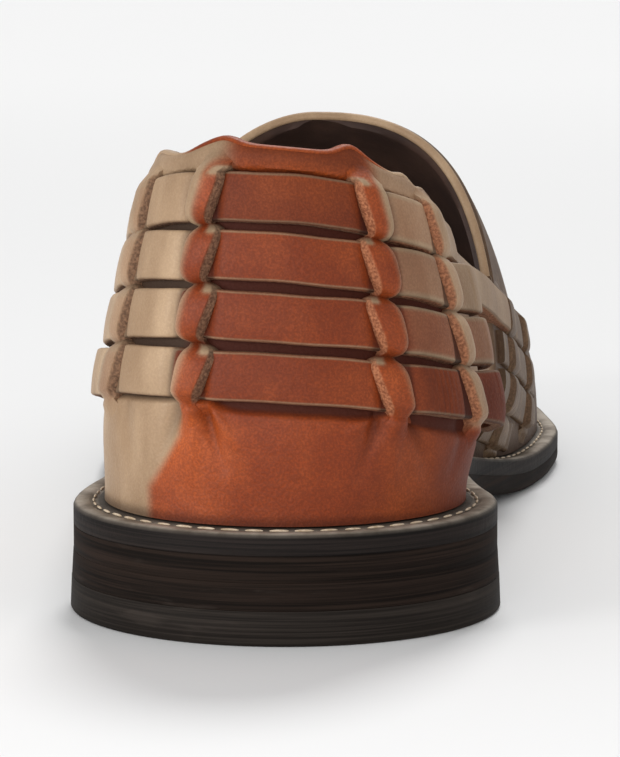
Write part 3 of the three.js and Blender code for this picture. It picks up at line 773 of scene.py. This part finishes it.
def wall_side(side):
    """The wall's outer and inner grids on one side."""
    foot, head, rise = wall_columns()
    top = lerp(turn_at(side * head, collar_z(side * head)), HALF_TURN, rise)
    tip_x = inset_point(side * TOE_END, feather_inset(TOE_CENTRE))[0]
    skived_to = 1 - smooth(head - AROUND, THROAT_TOP, THROAT_FOOT)

    def rows(shares, off):
        out = []
        for share in shares:
            skived = 1 - 0.55 * smooth(share, 0.9, 1) * skived_to
            points = on_upper(side * lerp(foot, head, share), top * share, off * skived)
            points[-1, 0] = lerp(tip_x, points[-1, 0], share)
            out.append(points)
        return np.array(out)

    outer = rows(np.linspace(0, 1, 46), VAMP_STEP * vamp_share(foot - AROUND))
    return outer, rows(np.linspace(1, 0, 26), -WALL)


def make_wall():
    left, right = wall_side(-1.0), wall_side(1.0)
    outer, inner = (np.concatenate([a, b[:, -2:0:-1]], 1) for a, b in zip(left, right))
    closed = wall_columns()[2] >= 1
    shut = np.concatenate([closed, closed[-2:0:-1]])
    head = len(outer) - 1
    grid = np.concatenate([outer, inner])
    kept = np.ones(grid.shape[:2], bool)
    kept[head] = ~(shut | np.roll(shut, -1))
    kept = kept.ravel()
    faces = np.concatenate(tube(grid))[kept]
    kinds = np.repeat(np.where(np.arange(len(grid)) < head, 0, 1), len(shut))[kept]
    points = grid.reshape(-1, 3)
    station = points[:, 1]
    # Painted shade over the side leather, deepest at its foot above the welt.
    values = {
        "pale": np.where(points[:, 0] < 0, 0.8, 0.75) * smooth(station, 30, 60),
        "shade": 0.35 + 0.4 * (1 - smooth(points[:, 2] - feather_z(station), 0, 3.5)),
        "vamp": vamp_share(station),
    }
    points, faces, kinds, values = weld(points, faces, kinds, values)
    wall = make_piece("upper_wall", points, faces, [LEATHER, LINING], values, kinds)
    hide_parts("upper")


def weld(points, faces, kinds, values):
    """Joins points that lie together and drops faces that have shrunk to a line."""
    key = np.round(points * 500).astype(np.int64)
    _, first, back = np.unique(key, axis=0, return_index=True, return_inverse=True)
    faces = back.reshape(-1)[faces]
    kept = {3: [], 4: []}
    for face, kind in zip(faces.tolist(), kinds.tolist()):
        corners = [p for n, p in enumerate(face) if p != face[n - 1]]
        if len(set(corners)) == len(corners) and len(corners) > 2:
            kept[len(corners)].append((corners, kind))
    lists = [np.array([f for f, _ in kept[n]]).reshape(-1, n) for n in (4, 3)]
    order = [kind for n in (4, 3) for _, kind in kept[n]]
    return points[first], lists, order, {k: v[first] for k, v in values.items()}


# The counter with its pulls

COUNTER_FRONT = (40, 34)
COUNTER_HEAD = 0.96

# The gap under the lowest strap, sunk and darkened with painted shade: where it is narrow, below each
# back band, and its depth
GAP_NARROW_AT = (-15.5, 22.5)
GAP_DEPTH = 0.9


def pulls(u, z):
    depth = np.zeros_like(u)
    for u0, z0, u1, z1, reach, deep in PULLS:
        du, dz = u1 - u0, z1 - z0
        along = np.clip(((u - u0) * du + (z - z0) * dz) / (du * du + dz * dz), 0, 1)
        away = np.hypot(u - u0 - along * du, z - z0 - along * dz)
        depth += deep * bell(away / reach) * (1 - 0.75 * along)
    return depth


def counter_shade(u, z):
    """Painted shade on the counter: darker over the top strap where it is red, in its pulls and round the
    inner side.
    """
    top_strap = strap_height(0, u, 1.0)
    lid = 0.65 * smooth(z, top_strap - 1, top_strap + 3) * (1 - 0.75 * pale_side(u, z))
    last_strap = strap_height(3, u, 0.0)
    turned = 0.5 * smooth(u, 8, 36) * (1 - smooth(z, last_strap - 2, last_strap))
    return np.clip(0.5 * smooth(pulls(u, z), 0.4, 1.6) + lid + turned, 0, 1)


def make_counter():
    s = np.linspace(-1, 1, 241)[None, :]
    even = np.linspace(0, COUNTER_HEAD, 140)
    head_rows = 1 - (1 - COUNTER_HEAD) * (1 - np.linspace(0, 1, 9)[1:]) ** 2
    t = np.concatenate([even, head_rows])[:, None]
    front = lerp(*COUNTER_FRONT, t) + AROUND
    u = s * front
    head = collar_z(u) + 0.6 - 1.1 * smooth(np.abs(s), 0.95, 1)
    z = lerp(foot_z(u), head, t)
    top_strap = strap_height(0, u, 1.0)
    last_strap = strap_height(3, u, 0.0)
    from_top = (head - z) / 1.6
    off = COUNTER_STEP - pulls(u, z) - 1.5 * (1 - np.sqrt(1 - np.clip(1 - from_top, 0, 1) ** 2))
    off = off - rounded(s, 0.012, 0.7) + 0.5 * bell((z - top_strap - 2.6) / 1.6)
    off = off + 0.12 * np.sin(u / 5.3) * np.sin(z / 6.7)
    below = 0.9 + 1.2 * smooth(u, -24, -6) + 0.6 * smooth(u, 22, 30)
    for at in GAP_NARROW_AT:
        below = below - 1.4 * bell((u - at) / 4.5)
    low_gap = last_strap - np.maximum(below, 0.4) - 0.35
    gaps = smooth(z, low_gap, low_gap + 1.3) * (1 - smooth(z, top_strap, top_strap + 0.7))
    gaps = gaps * (1 - smooth(np.abs(u), front - 3, front))
    foot = 0.65 * (1 - smooth(z - foot_z(u), 0.2, 2.4))
    # Painted shade in the gaps between the straps and at the counter's foot above the welt.
    shade = np.maximum(np.maximum(gaps * 0.95, foot), counter_shade(u, z))
    edge = smooth(np.abs(s), 0.985, 0.996)
    values = {"pale": (pale_side(u, z), 0.5), "edge": (edge, 1.0), "shade": (shade, 0.3)}
    leather_piece("counter", slab(u, z, off - GAP_DEPTH * gaps, **values))


# Straps, strips and bands

# Points across a strap, and the steps along it
ACROSS = np.array([-1, -0.97, -0.92, -0.84, -0.72, -0.5, -0.25, 0, 0.25, 0.5, 0.72, 0.84, 0.92, 0.97, 1])
STRAP_STEP = 0.9
WRINKLED_STEP = 0.35
STRIP_STEP = 0.8

# Where a strap's tail starts to spring off, and where it is off in full
TAIL_SPRING = (50.0, 61.0)

# Rows of points down a band, in strap widths from a strap's lower edge: first, last and how many
BAND_OVER = (1.62, 1.17, 9)
BAND_CROSSING = (1.12, -0.1, 17)
BAND_UNDER = (-0.15, -0.62, 9)
BAND_SINK = 0.35


def strap_sheet(row):
    end = STRAPS["end"][row] + AROUND
    step = WRINKLED_STEP if row == 3 else STRAP_STEP
    u = np.linspace(-end, end, int(2 * end / step))[None, :]
    v = ACROSS[:, None]
    lift_most = np.where(u >= 0, STRAPS["lift_inner"][row], STRAPS["lift_outer"][row])
    spring = lift_most * smooth(np.abs(u), *TAIL_SPRING) ** 0.8
    dip = np.zeros_like(u)
    for _, side, near, far, _, _, _, half in HEEL_BANDS:
        at = side * (near[0] + far[0]) / 2
        dip += 0.85 * dent(u - at, half, 1.6)
    swell = 0.25 * (1 - v * v)
    tip = rounded(u / end, 0.6 / end, 0.8 if row else 0.2)
    wrinkles = 0.16 * np.sin(4.4 * u + 0.5 * v) * bell((u - 34.5) / 3.2) if row == 3 else 0
    high = STRAP_PROUD + 0.1 + swell - rounded(v, 0.11, 0.75) - dip + spring - tip + wrinkles
    low = lerp(-SUNK, spring + STRAP_PROUD - STRAP_THICKNESS, smooth(spring, 0.2, 1.2))
    z = strap_height(row, u, (v + 1) / 2)
    tail = smooth(u, 50, 53)
    # Painted shade on the strap: on the inner side and the tails, across the back with most on the top
    # strap, beside the bands where it dips, along its lower edge and on its underside.
    dark = lerp(STRAPS["dark_inner"][row] * smooth(u, 26, 30), STRAPS["dark_tail"][row], tail)
    dark = dark + (0.24 if row else 0.52) * smooth(u, -24, -20) * (1 - smooth(u, 26, 30))
    dark = dark + 0.2 * smooth(dip, 0.3, 0.9) + 0.35 * smooth(dip, 0.6, 0.8)
    dark = dark + 0.25 * smooth(-v, 0.9, 0.99)
    rim = np.abs(v)
    # Painted highlight along both rounded edges of the strap.
    wear_and_highlight = smooth(rim, 0.8, 0.93) * (1 - smooth(rim, 0.96, 0.99))
    ends = smooth(np.abs(u) / end, 1 - 0.8 / end, 1 - 0.2 / end)
    # Pale where a reflection is painted: beyond the outer back band, and on the inner side and the tails.
    outer_pale = 0.95 * smooth(-u, 21.5, 23.5)
    inner_pale = lerp(STRAPS["pale_inner"][row] * smooth(u, 25, 28), STRAPS["pale_tail"][row], tail)
    return slab(
        u,
        z,
        high,
        low,
        pale=(outer_pale + inner_pale + 0.7 * wear_and_highlight, 0.4),
        edge=(np.maximum(smooth(rim, 0.975, 1.0), ends), 1.0),
        shade=(dark, 0.85),
    )


def strip_sheet(row, side):
    start, end = STRIPS["start"][row], STRIPS["end"][row]
    a = np.linspace(start, end, int((end - start) / STRIP_STEP))[None, :]
    u = side * (a + AROUND)
    v = ACROSS[:, None]
    dip = np.zeros_like(a)
    for first, last, rows in VAMP_BANDS:
        if row < rows:
            middle, half = (first + last) / 2, (last - first) / 2
            dip += 0.6 * dent(a - middle, half, 1.5)
    sink = 1.6 * smooth(a, end - 4, end)
    # The shade value below paints shade where a strip dips under a band and where it sinks at its end.
    return slab(
        u,
        strip_height(row, u, (v + 1) / 2),
        STRIP_PROUD + 0.15 * (1 - v * v) - rounded(v, 0.13, 0.7) - dip - sink,
        pale=(0.85, 0.4),
        vamp=(1.0, 1.0),
        edge=(smooth(np.abs(v), 0.97, 1.0), 1.0),
        shade=(0.1 + 0.6 * smooth(dip + sink, 0.2, 0.9), 0.5),
    )


def band_sheet(height, rows, side, near, far, base, neck, proud, pale, slant):
    """A narrow band of the upper's own leather that bulges over each strap and is necked between them.

    near and far are its edges round the shoe, each at its top and at its bottom. slant is how far each of
    them runs forward down a slit. Its ends sink back into the leather that it is cut from."""
    at_heel = base == COUNTER_STEP
    levels = [(0, t) for t in np.linspace(*BAND_OVER)]
    for row in range(rows):
        levels += [(row, t) for t in np.linspace(*BAND_CROSSING)]
    levels += [(rows - 1, t) for t in np.linspace(*BAND_UNDER)]
    row_of = np.array([row for row, _ in levels])[:, None]
    t = np.array([t for _, t in levels])[:, None]
    share = np.linspace(0, 1, len(t))[:, None]
    swell = np.clip(1 - (np.abs(2 * t - 1) / 1.14) ** 3.2, 0, 1) ** 0.62
    over = np.where((row_of == 0) & (t > 0.7), 1 - smooth(t, 0.8, 1.58), 0)
    under = np.where((row_of == rows - 1) & (t < 0.3), 1 - smooth(-t, -0.2, 0.58), 0)
    end = ((row_of == 0) & (t > 1)) | ((row_of == rows - 1) & (t < 0))
    merge = np.where(end, smooth(np.abs(t - 0.5), 0.52, 0.85), 0)
    foot = np.where(end, base - 0.25, neck)
    pinch = bell((t + 0.08) / 0.1) * (row_of == rows - 1)
    off = foot + (proud - foot) * np.maximum(swell, np.maximum(over, under)) * (1 - 0.4 * pinch)
    wide = np.where(end, 1.0 + 0.5 * smooth(np.abs(t - 0.5), 0.6, 1.1), lerp(0.55, 1.0, swell**0.8))
    s = np.array([0, 0.25, 0.45, 0.6, 0.68, 0.74, 0.8, 0.87, 0.94, 1])
    s = np.concatenate([-s[:0:-1], s])[None, :]
    out = s * side
    run = (0.5 - np.clip(t, 0, 1)) * np.where(end, 1, swell**0.35)
    near = lerp(*near, share) + run * slant[0]
    far = lerp(*far, share) + run * slant[1]
    u = side * ((near + far) / 2 + out / 2 * (far - near) * wide * (1 - 0.25 * pinch))
    z = np.array([height(row, u[k], t[k]) for k, row in enumerate(row_of[:, 0])])
    if at_heel:
        z = np.minimum(z, collar_z(u) - 0.5)
    cut = smooth(-out, 0.72, 0.82) * (1 - merge)
    bevel = 1.3 * np.clip((-out - 0.74) / 0.26, 0, 1) * smooth(swell, 0.1, 0.6)
    fall = pulls(u, z) if at_heel else 0
    sunk = base - BAND_SINK - fall
    face = off + 0.35 * (1 - s * s) - np.where(out > 0, rounded(s, 0.34, 1.0), bevel) - fall * merge
    face = sunk + (face - sunk) * lerp(1, 1 - np.abs(s) ** 2.5, merge)
    face = np.where((share == 0) | (share == 1), sunk, face)
    edge = np.maximum(0.9 * cut, 0.7 * smooth(out, 0.9, 0.985)) * smooth(swell, 0.05, 0.5)
    # Painted shade in the necks between bulges and on the band's underside.
    shade = 0.6 * (1 - smooth(swell, 0.0, 0.6)) * (0.6 + 0.4 * np.abs(s)) * np.where(end, 0, 1)
    # A painted highlight at the near side of each neck.
    tone = pale + bell((t - 1.0) / 0.1) * smooth(-out, 0.0, 0.5) * (1 - merge)
    if at_heel:
        # On the counter: painted shade a little deeper, a painted highlight on the far half and across
        # the top strap, and the counter's painted shade and reflection where the band merges into it.
        shade = lerp(shade + 0.12, counter_shade(u, z), merge)
        tone = tone + 0.5 * smooth(out, 0.0, 0.9) + 0.5 * (row_of == 0) * smooth(out, -0.5, 0.5)
        tone = lerp(tone, pale_side(u, z), merge)
    return slab(
        u,
        z,
        face,
        pale=(tone, 0.3),
        vamp=(0.0, 0.0) if at_heel else (1.0, 1.0),
        edge=(edge, 0.9),
        shade=(shade, 0.5),
    )


def make_weave():
    for row in range(4):
        leather_piece(f"strap_{row + 1}", strap_sheet(row))
    for name, side, near, far, proud, pale, slant, _ in HEEL_BANDS:
        shape = (COUNTER_STEP, HEEL_BAND_NECK, proud, pale, slant)
        leather_piece(f"heel_band_{name}", band_sheet(strap_height, 4, side, near, far, *shape))
    shape = (VAMP_STEP, VAMP_BAND_NECK, VAMP_BAND_PROUD, VAMP_BAND_PALE, VAMP_BAND_SLANT)
    for side, side_name in ((-1, "outer"), (1, "inner")):
        leather_piece(f"vamp_strips_{side_name}", join([strip_sheet(row, side) for row in range(4)]))
        bands = []
        for first, last, rows in VAMP_BANDS:
            near, far = (first + AROUND,) * 2, (last + AROUND,) * 2
            bands.append(band_sheet(strip_height, rows, side, near, far, *shape))
        leather_piece(f"vamp_bands_{side_name}", join(bands))


# The bound edge of collar and throat

BINDING_SHARE = 0.45
BINDING_PLAY = 0.12
BINDING_HALF_HEIGHT = 0.65


def make_binding():
    """A thin rolled edge all round the opening."""
    _, head, rise = wall_columns()
    open_to = int(np.argmax(rise >= 1)) + 1
    way = head[:open_to]
    step = VAMP_STEP * vamp_share(way - AROUND)
    loops = []
    for side in (-1.0, 1.0):
        turn = lerp(turn_at(side * way, collar_z(side * way)), HALF_TURN, rise[:open_to])
        counter_top = COUNTER_STEP * (1 - smooth(way, 54.5, 57.5))
        outer = on_upper(side * way, turn, np.maximum(step * BINDING_SHARE, counter_top) + BINDING_PLAY)
        loops.append((outer, on_upper(side * way, turn, -WALL * BINDING_SHARE - BINDING_PLAY)))
    outer, inner = (np.concatenate([a, b[-2:0:-1]]) for a, b in zip(*loops))
    centre = (outer + inner) / 2
    half = (outer - inner) / 2
    along = unit(np.roll(centre, -1, 0) - np.roll(centre, 1, 0))
    across = unit(half)
    up = unit(np.cross(along, across))
    up = np.where((up[:, 2:3] < 0) & (np.abs(up[:, 2:3]) > 0.2), -up, up)
    flip = np.sign(np.einsum("ij,ij->i", up, np.roll(up, 1, 0)))
    up = up * np.where(np.cumprod(np.where(flip == 0, 1, flip)) < 0, -1, 1)[:, None]
    thick = np.linalg.norm(half, axis=1, keepdims=True)
    angles = np.linspace(0, 2 * math.pi, 16, endpoint=False)
    up = up * BINDING_HALF_HEIGHT
    rings = np.array([centre + across * thick * math.cos(k) + up * math.sin(k) for k in angles])
    points = rings.reshape(-1, 3)
    station = points[:, 1]
    # Painted highlight along the rolled edge on both sides and round the throat, painted shade on it at
    # the back.
    pale = np.maximum(smooth(np.abs(points[:, 0]), 13, 19), smooth(station, 45, 80))
    leather_piece("collar_binding", (points, tube(rings), {"pale": pale, "shade": 0.25 * (1 - pale)}))


# The sole


def sole_ways():
    heel = np.linspace(0, HEEL_ARC, 40, endpoint=False)
    sides = np.linspace(HEEL_ARC, TOE_START, 110, endpoint=False)
    return np.concatenate([heel, sides, np.linspace(TOE_START, TOE_END, 40)])


def ring(ways, inset, height):
    """A line round the shoe. inset is a number or a function of the station, as height is."""

    def half(side):
        u = side * ways
        x, y = inset_point(u, inset(rim_point(u)[1]) if callable(inset) else inset)
        return np.stack([x, y, height(y)], -1)

    return np.concatenate([half(-1.0), half(1.0)[-2:0:-1]])


def caps(count, half, start, upward):
    """Flat faces across a ring, from the outer to the inner side."""
    i = np.arange(1, half - 1)
    far = count - i
    quads = np.stack([i, i + 1, far - 1, far], -1) + start
    tris = np.array([[0, 1, count - 1], [half - 1, half, half + 1]]) + start
    return [f if upward else f[:, ::-1] for f in (quads, tris)]


def layer_piece(name, profile, material, node):
    ways = sole_ways()
    rings = [ring(ways, inset, height) for inset, height in profile]
    count = len(rings[0])
    half = len(ways) - 1
    last = (len(rings) - 1) * count
    faces = stacked(rings) + caps(count, half, 0, True) + caps(count, half, last, False)
    piece = make_piece(name, np.concatenate(rings), faces, [material])
    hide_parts(node)


def edge_round(a):
    return lerp(OUTSOLE_ROUND_FORE, OUTSOLE_ROUND_HEEL, heel_share(a))


def make_outsole():
    profile = []
    for turn in np.linspace(0, HALF_TURN, 7):
        profile.append(
            (
                lambda a, t=turn: edge_round(a) * (1 - np.sin(t)),
                lambda a, t=turn: outsole_bottom(a) + edge_round(a) * (1 - np.cos(t)),
            )
        )
    profile += [(0.0, lambda a: outsole_top(a) + 0.1), (0.12, welt_bottom)]
    layer_piece("outsole_fine", profile, SOLE, "outsole")


def make_welt():
    """The welt with a rounded edge and a shallow channel for its stitches."""
    ways = sole_ways()
    # Inset, the surface that it is measured from, height over it, how dyed and how much painted shade
    outline = [
        (0.12, welt_bottom, 0.0, 1.0, 0.0),
        (0.0, welt_bottom, 0.15, 1.0, 0.0),
        (0.0, welt_top, -0.75, 1.0, 0.0),
        (0.2, welt_top, -0.25, 0.8, 0.0),
        (0.6, welt_top, 0.0, 0.15, 0.0),
        (1.2, welt_top, 0.02, 0.0, 0.0),
        (2.6, welt_top, 0.0, 0.0, 0.0),
        (3.0, welt_top, -0.3, 0.0, 0.35),
        (4.0, welt_top, -0.3, 0.0, 0.35),
        (4.4, welt_top, 0.0, 0.0, 0.85),
        (5.2, welt_top, 0.0, 0.0, 0.85),
        (WELT_INNER_INSET, welt_top, 0.0, 0.0, 0.85),
        (WELT_INNER_INSET, welt_bottom, 0.0, 1.0, 0.85),
    ]
    rings = [ring(ways, inset, lambda a, b=base, r=rise: b(a) + r) for inset, base, rise, _, _ in outline]
    values = {"edge": [row[3] for row in outline], "shade": [row[4] for row in outline]}
    values = {key: np.repeat(column, len(rings[0])) for key, column in values.items()}
    piece = make_piece("welt_fine", np.concatenate(rings), tube(rings), [WELT], values)
    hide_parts("welt")


def heel_ring(z, flare):
    """The heel's outline at a height, with the hollow of its breast."""
    ways = sole_ways()
    ways = np.append(ways[ways < BREAST + AROUND - 1.0], BREAST + AROUND)
    left, right = (np.stack(inset_point(side * ways, -flare), -1) for side in (-1, 1))
    t = np.linspace(0, 1, 26)[1:-1]
    hollow = BREAST - BREAST_HOLLOW * np.sin(math.pi * t)
    breast = np.stack([lerp(left[-1, 0], right[-1, 0], t), hollow], -1)
    plan = np.concatenate([left, breast, right[:0:-1]])
    return np.column_stack([plan, np.full(len(plan), z)])


def make_heel_piece(name, levels, material, node):
    """A heel layer from its levels: height and flare of each ring."""
    rings = [heel_ring(z, flare) for z, flare in levels]
    cap = np.arange(len(rings[0]))[None, :]
    faces = stacked(rings) + [cap[:, ::-1], cap + (len(rings) - 1) * cap.shape[1]]
    piece = make_piece(name, np.concatenate(rings), faces, [material])
    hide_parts(node)


def make_heel():
    top = TOP_PIECE_HEIGHT
    low = [(0, 0.1), (0.15, 0.4), (0.5, 0.6), (2.9, 0.5), (top - 0.12, 0.38), (top, 0.28)]
    make_heel_piece("top_piece_fine", low, RUBBER, "heel_top_piece")
    high = [(top, 0.2), (top + 0.12, 0.32), (HEEL_HEIGHT - 0.1, 0.05), (HEEL_HEIGHT, -0.02)]
    make_heel_piece("lift_fine", high, SOLE, "heel_lift")


def make_insole():
    core = WELT_INNER_INSET + INSOLE_PLAY

    def flange(a):
        return feather_inset(a) + WALL + INSOLE_PLAY

    profile = [
        (core, welt_bottom),
        (core, feather_z),
        (flange, feather_z),
        (flange, lambda a: feather_z(a) + INSOLE_PAD - 0.6),
        (lambda a: flange(a) + 0.5, lambda a: feather_z(a) + INSOLE_PAD),
    ]
    layer_piece("insole_fine", profile, INSOLE, "insole")


# Stitches along the welt, with sizes in metres

STITCH_INSET = 3.5
STITCHES = {"Pitch": 0.0041, "Thread radius": 0.00023, "Stitch length": 0.003, "Seed": 3}
STITCH_SPREAD = (0.86, 1.1)


def stitch_tree():
    """Geometry nodes that set a short thread at equal steps along a curve."""
    tree = bpy.data.node_groups.new("welt_stitches", "GeometryNodeTree")
    face = tree.interface
    face.new_socket("Geometry", in_out="INPUT", socket_type="NodeSocketGeometry")
    for name, value in STITCHES.items():
        kind = "NodeSocketInt" if name == "Seed" else "NodeSocketFloat"
        face.new_socket(name, in_out="INPUT", socket_type=kind).default_value = value
    face.new_socket("Geometry", in_out="OUTPUT", socket_type="NodeSocketGeometry")

    def node(kind, settings=(), **inputs):
        return add_node(tree, kind, settings, **inputs)

    given = node("NodeGroupInput").outputs
    steps = {"mode": "LENGTH"}
    spots = node("GeometryNodeCurveToPoints", steps, Curve=given["Geometry"], Length=given["Pitch"])
    bead = node("GeometryNodeMeshUVSphere", Segments=10, Rings=8, Radius=1.0)
    radius = given["Thread radius"]
    half_length = Value(tree, given["Stitch length"]) * 0.5
    size = node("ShaderNodeCombineXYZ", X=radius, Y=radius, Z=half_length)
    lots = node("FunctionNodeRandomValue", {"data_type": "FLOAT"}, Seed=given["Seed"])
    limits = [socket for socket in lots.inputs if socket.enabled and socket.name in ("Min", "Max")]
    for socket, value in zip(limits, STITCH_SPREAD):
        socket.default_value = value
    share = next(socket for socket in lots.outputs if socket.enabled)
    scale = node("ShaderNodeVectorMath", {"operation": "SCALE"}, Vector=size.outputs[0], Scale=share)
    set_out = node(
        "GeometryNodeInstanceOnPoints",
        Points=spots.outputs["Points"],
        Instance=bead.outputs["Mesh"],
        Rotation=spots.outputs["Rotation"],
        Scale=scale.outputs[0],
    )
    real = node("GeometryNodeRealizeInstances", Geometry=set_out.outputs["Instances"])
    coloured = node("GeometryNodeSetMaterial", Geometry=real.outputs["Geometry"], Material=THREAD)
    node("NodeGroupOutput", Geometry=coloured.outputs["Geometry"])
    return tree


def make_stitches():
    line = placed(ring(sole_ways(), STITCH_INSET, lambda a: welt_top(a) - 0.02))
    curve = bpy.data.curves.new("stitch_line", "CURVE")
    curve.dimensions = "3D"
    spline = curve.splines.new("POLY")
    spline.points.add(len(line) - 1)
    spline.points.foreach_set("co", np.column_stack([line, np.ones(len(line))]).ravel())
    spline.use_cyclic_u = True
    guide = add_object("stitch_guide", curve)
    modifier = guide.modifiers.new("stitches", "NODES")
    modifier.node_group = stitch_tree()
    for item in modifier.node_group.interface.items_tree:
        if item.in_out == "INPUT" and item.name in STITCHES:
            modifier[item.identifier] = STITCHES[item.name]
    graph = bpy.context.evaluated_depsgraph_get()
    mesh = bpy.data.meshes.new_from_object(guide.evaluated_get(graph), depsgraph=graph)
    mesh.name = "welt_stitches"
    guide.modifiers.remove(modifier)
    bpy.data.objects.remove(guide)
    mesh.shade_smooth()
    piece = add_object("welt_stitches", mesh)
    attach(piece, "root")


# Studio, in metres and watts

FLOOR = [(-6, -4, 0), (6, -4, 0), (6, 9, 0), (-6, 9, 0)]
FLOOR_NEAR = (0.76, 0.76, 0.76)
FLOOR_FAR = (0.86, 0.86, 0.86)
SKY = 0.66
SKY_LOSS = 0.46
SUN = 1.7
SUN_WIDTH = 16
SUN_WAY = (-0.1, -0.75, -1.0)
LAMP_AIM = (0, -0.1, 0.04)

# The lamps: place, size and power
LAMPS = (
    ((-0.95, -0.75, 0.26), 0.5, 6.3),
    ((0.95, -0.85, 0.26), 0.5, 1.6),
    ((-0.15, -1.3, 0.28), 0.5, 4.4),
)


def make_studio():
    """A pale floor, a sky darker behind the camera and on its right, three lamps and a high soft sun."""
    scene = bpy.context.scene
    scene.view_settings.view_transform = "Standard"
    s = Shader("studio_floor", 0.9)
    s.set("Base Color", s.mix(s.between(s.parts()[1], -0.3, 2.5), FLOOR_NEAR, FLOOR_FAR))
    s.set("Specular IOR Level", 0.1)
    mesh = bpy.data.meshes.new("floor")
    mesh.from_pydata(FLOOR, [], [(0, 1, 2, 3)])
    mesh.materials.append(s.material)
    floor = add_object("floor", mesh)

    world = bpy.data.worlds.new("studio")
    world.use_nodes = True
    tree = world.node_tree
    background = tree.nodes["Background"].inputs
    background["Color"].default_value = (1.0, 1.0, 1.0, 1.0)
    way = add_node(tree, "ShaderNodeTexCoord").outputs["Generated"]
    x, y, z = (Value(tree, part) for part in add_node(tree, "ShaderNodeSeparateXYZ", Vector=way).outputs)
    front = (y * -1 - z * 0.5).maximum(x * 0.9 - z * 1.5)
    loss = add_node(tree, "ShaderNodeMapRange", SOFT, Value=front, From_Min=0.25, From_Max=0.9)
    put(tree, background["Strength"], SKY - Value(tree, loss.outputs["Result"]) * SKY_LOSS)
    scene.world = world

    for i, (place, size, watts) in enumerate(LAMPS):
        data = bpy.data.lights.new(f"lamp_{i}", "AREA")
        data.energy = watts
        data.size = size
        lamp = add_object(f"lamp_{i}", data)
        lamp.location = place
        lamp.rotation_euler = (Vector(LAMP_AIM) - lamp.location).to_track_quat("-Z", "Y").to_euler()

    data = bpy.data.lights.new("high_back_light", "SUN")
    data.energy = SUN
    data.angle = math.radians(SUN_WIDTH)
    lamp = add_object("high_back_light", data)
    lamp.rotation_euler = Vector(SUN_WAY).to_track_quat("-Z", "Y").to_euler()


# Camera: the place the photo was taken from, turned and closed in on the one shoe

PHOTO_PLACE = (0.012367, -0.669096, 0.111338)
PHOTO_FOCAL = 1677.8
PHOTO_YAW = math.radians(3.007)
PHOTO_PITCH = math.radians(-6.065)
PHOTO_SIZE = (620, 757)
AIM_PIXEL = (182.0, 417.0)
CLOSER = 1.95
SENSOR = 36


def make_camera():
    level = math.cos(PHOTO_PITCH)
    forward = Vector((math.sin(PHOTO_YAW) * level, math.cos(PHOTO_YAW) * level, math.sin(PHOTO_PITCH)))
    right = Vector((math.cos(PHOTO_YAW), -math.sin(PHOTO_YAW), 0.0))
    up = right.cross(forward)
    aim = forward + right * ((AIM_PIXEL[0] - PHOTO_SIZE[0] / 2) / PHOTO_FOCAL)
    aim = aim + up * ((PHOTO_SIZE[1] / 2 - AIM_PIXEL[1]) / PHOTO_FOCAL)
    data = bpy.data.cameras.new("camera")
    data.lens = PHOTO_FOCAL * CLOSER * SENSOR / PHOTO_SIZE[1]
    data.sensor_width = SENSOR
    data.clip_start = 0.05
    data.clip_end = 50
    camera = add_object("camera", data)
    camera.location = PHOTO_PLACE
    camera.rotation_euler = aim.to_track_quat("-Z", "Y").to_euler()
    bpy.context.scene.camera = camera


make_wall()
make_counter()
make_weave()
make_binding()
make_outsole()
make_welt()
make_heel()
make_insole()
make_stitches()
make_studio()
make_camera()
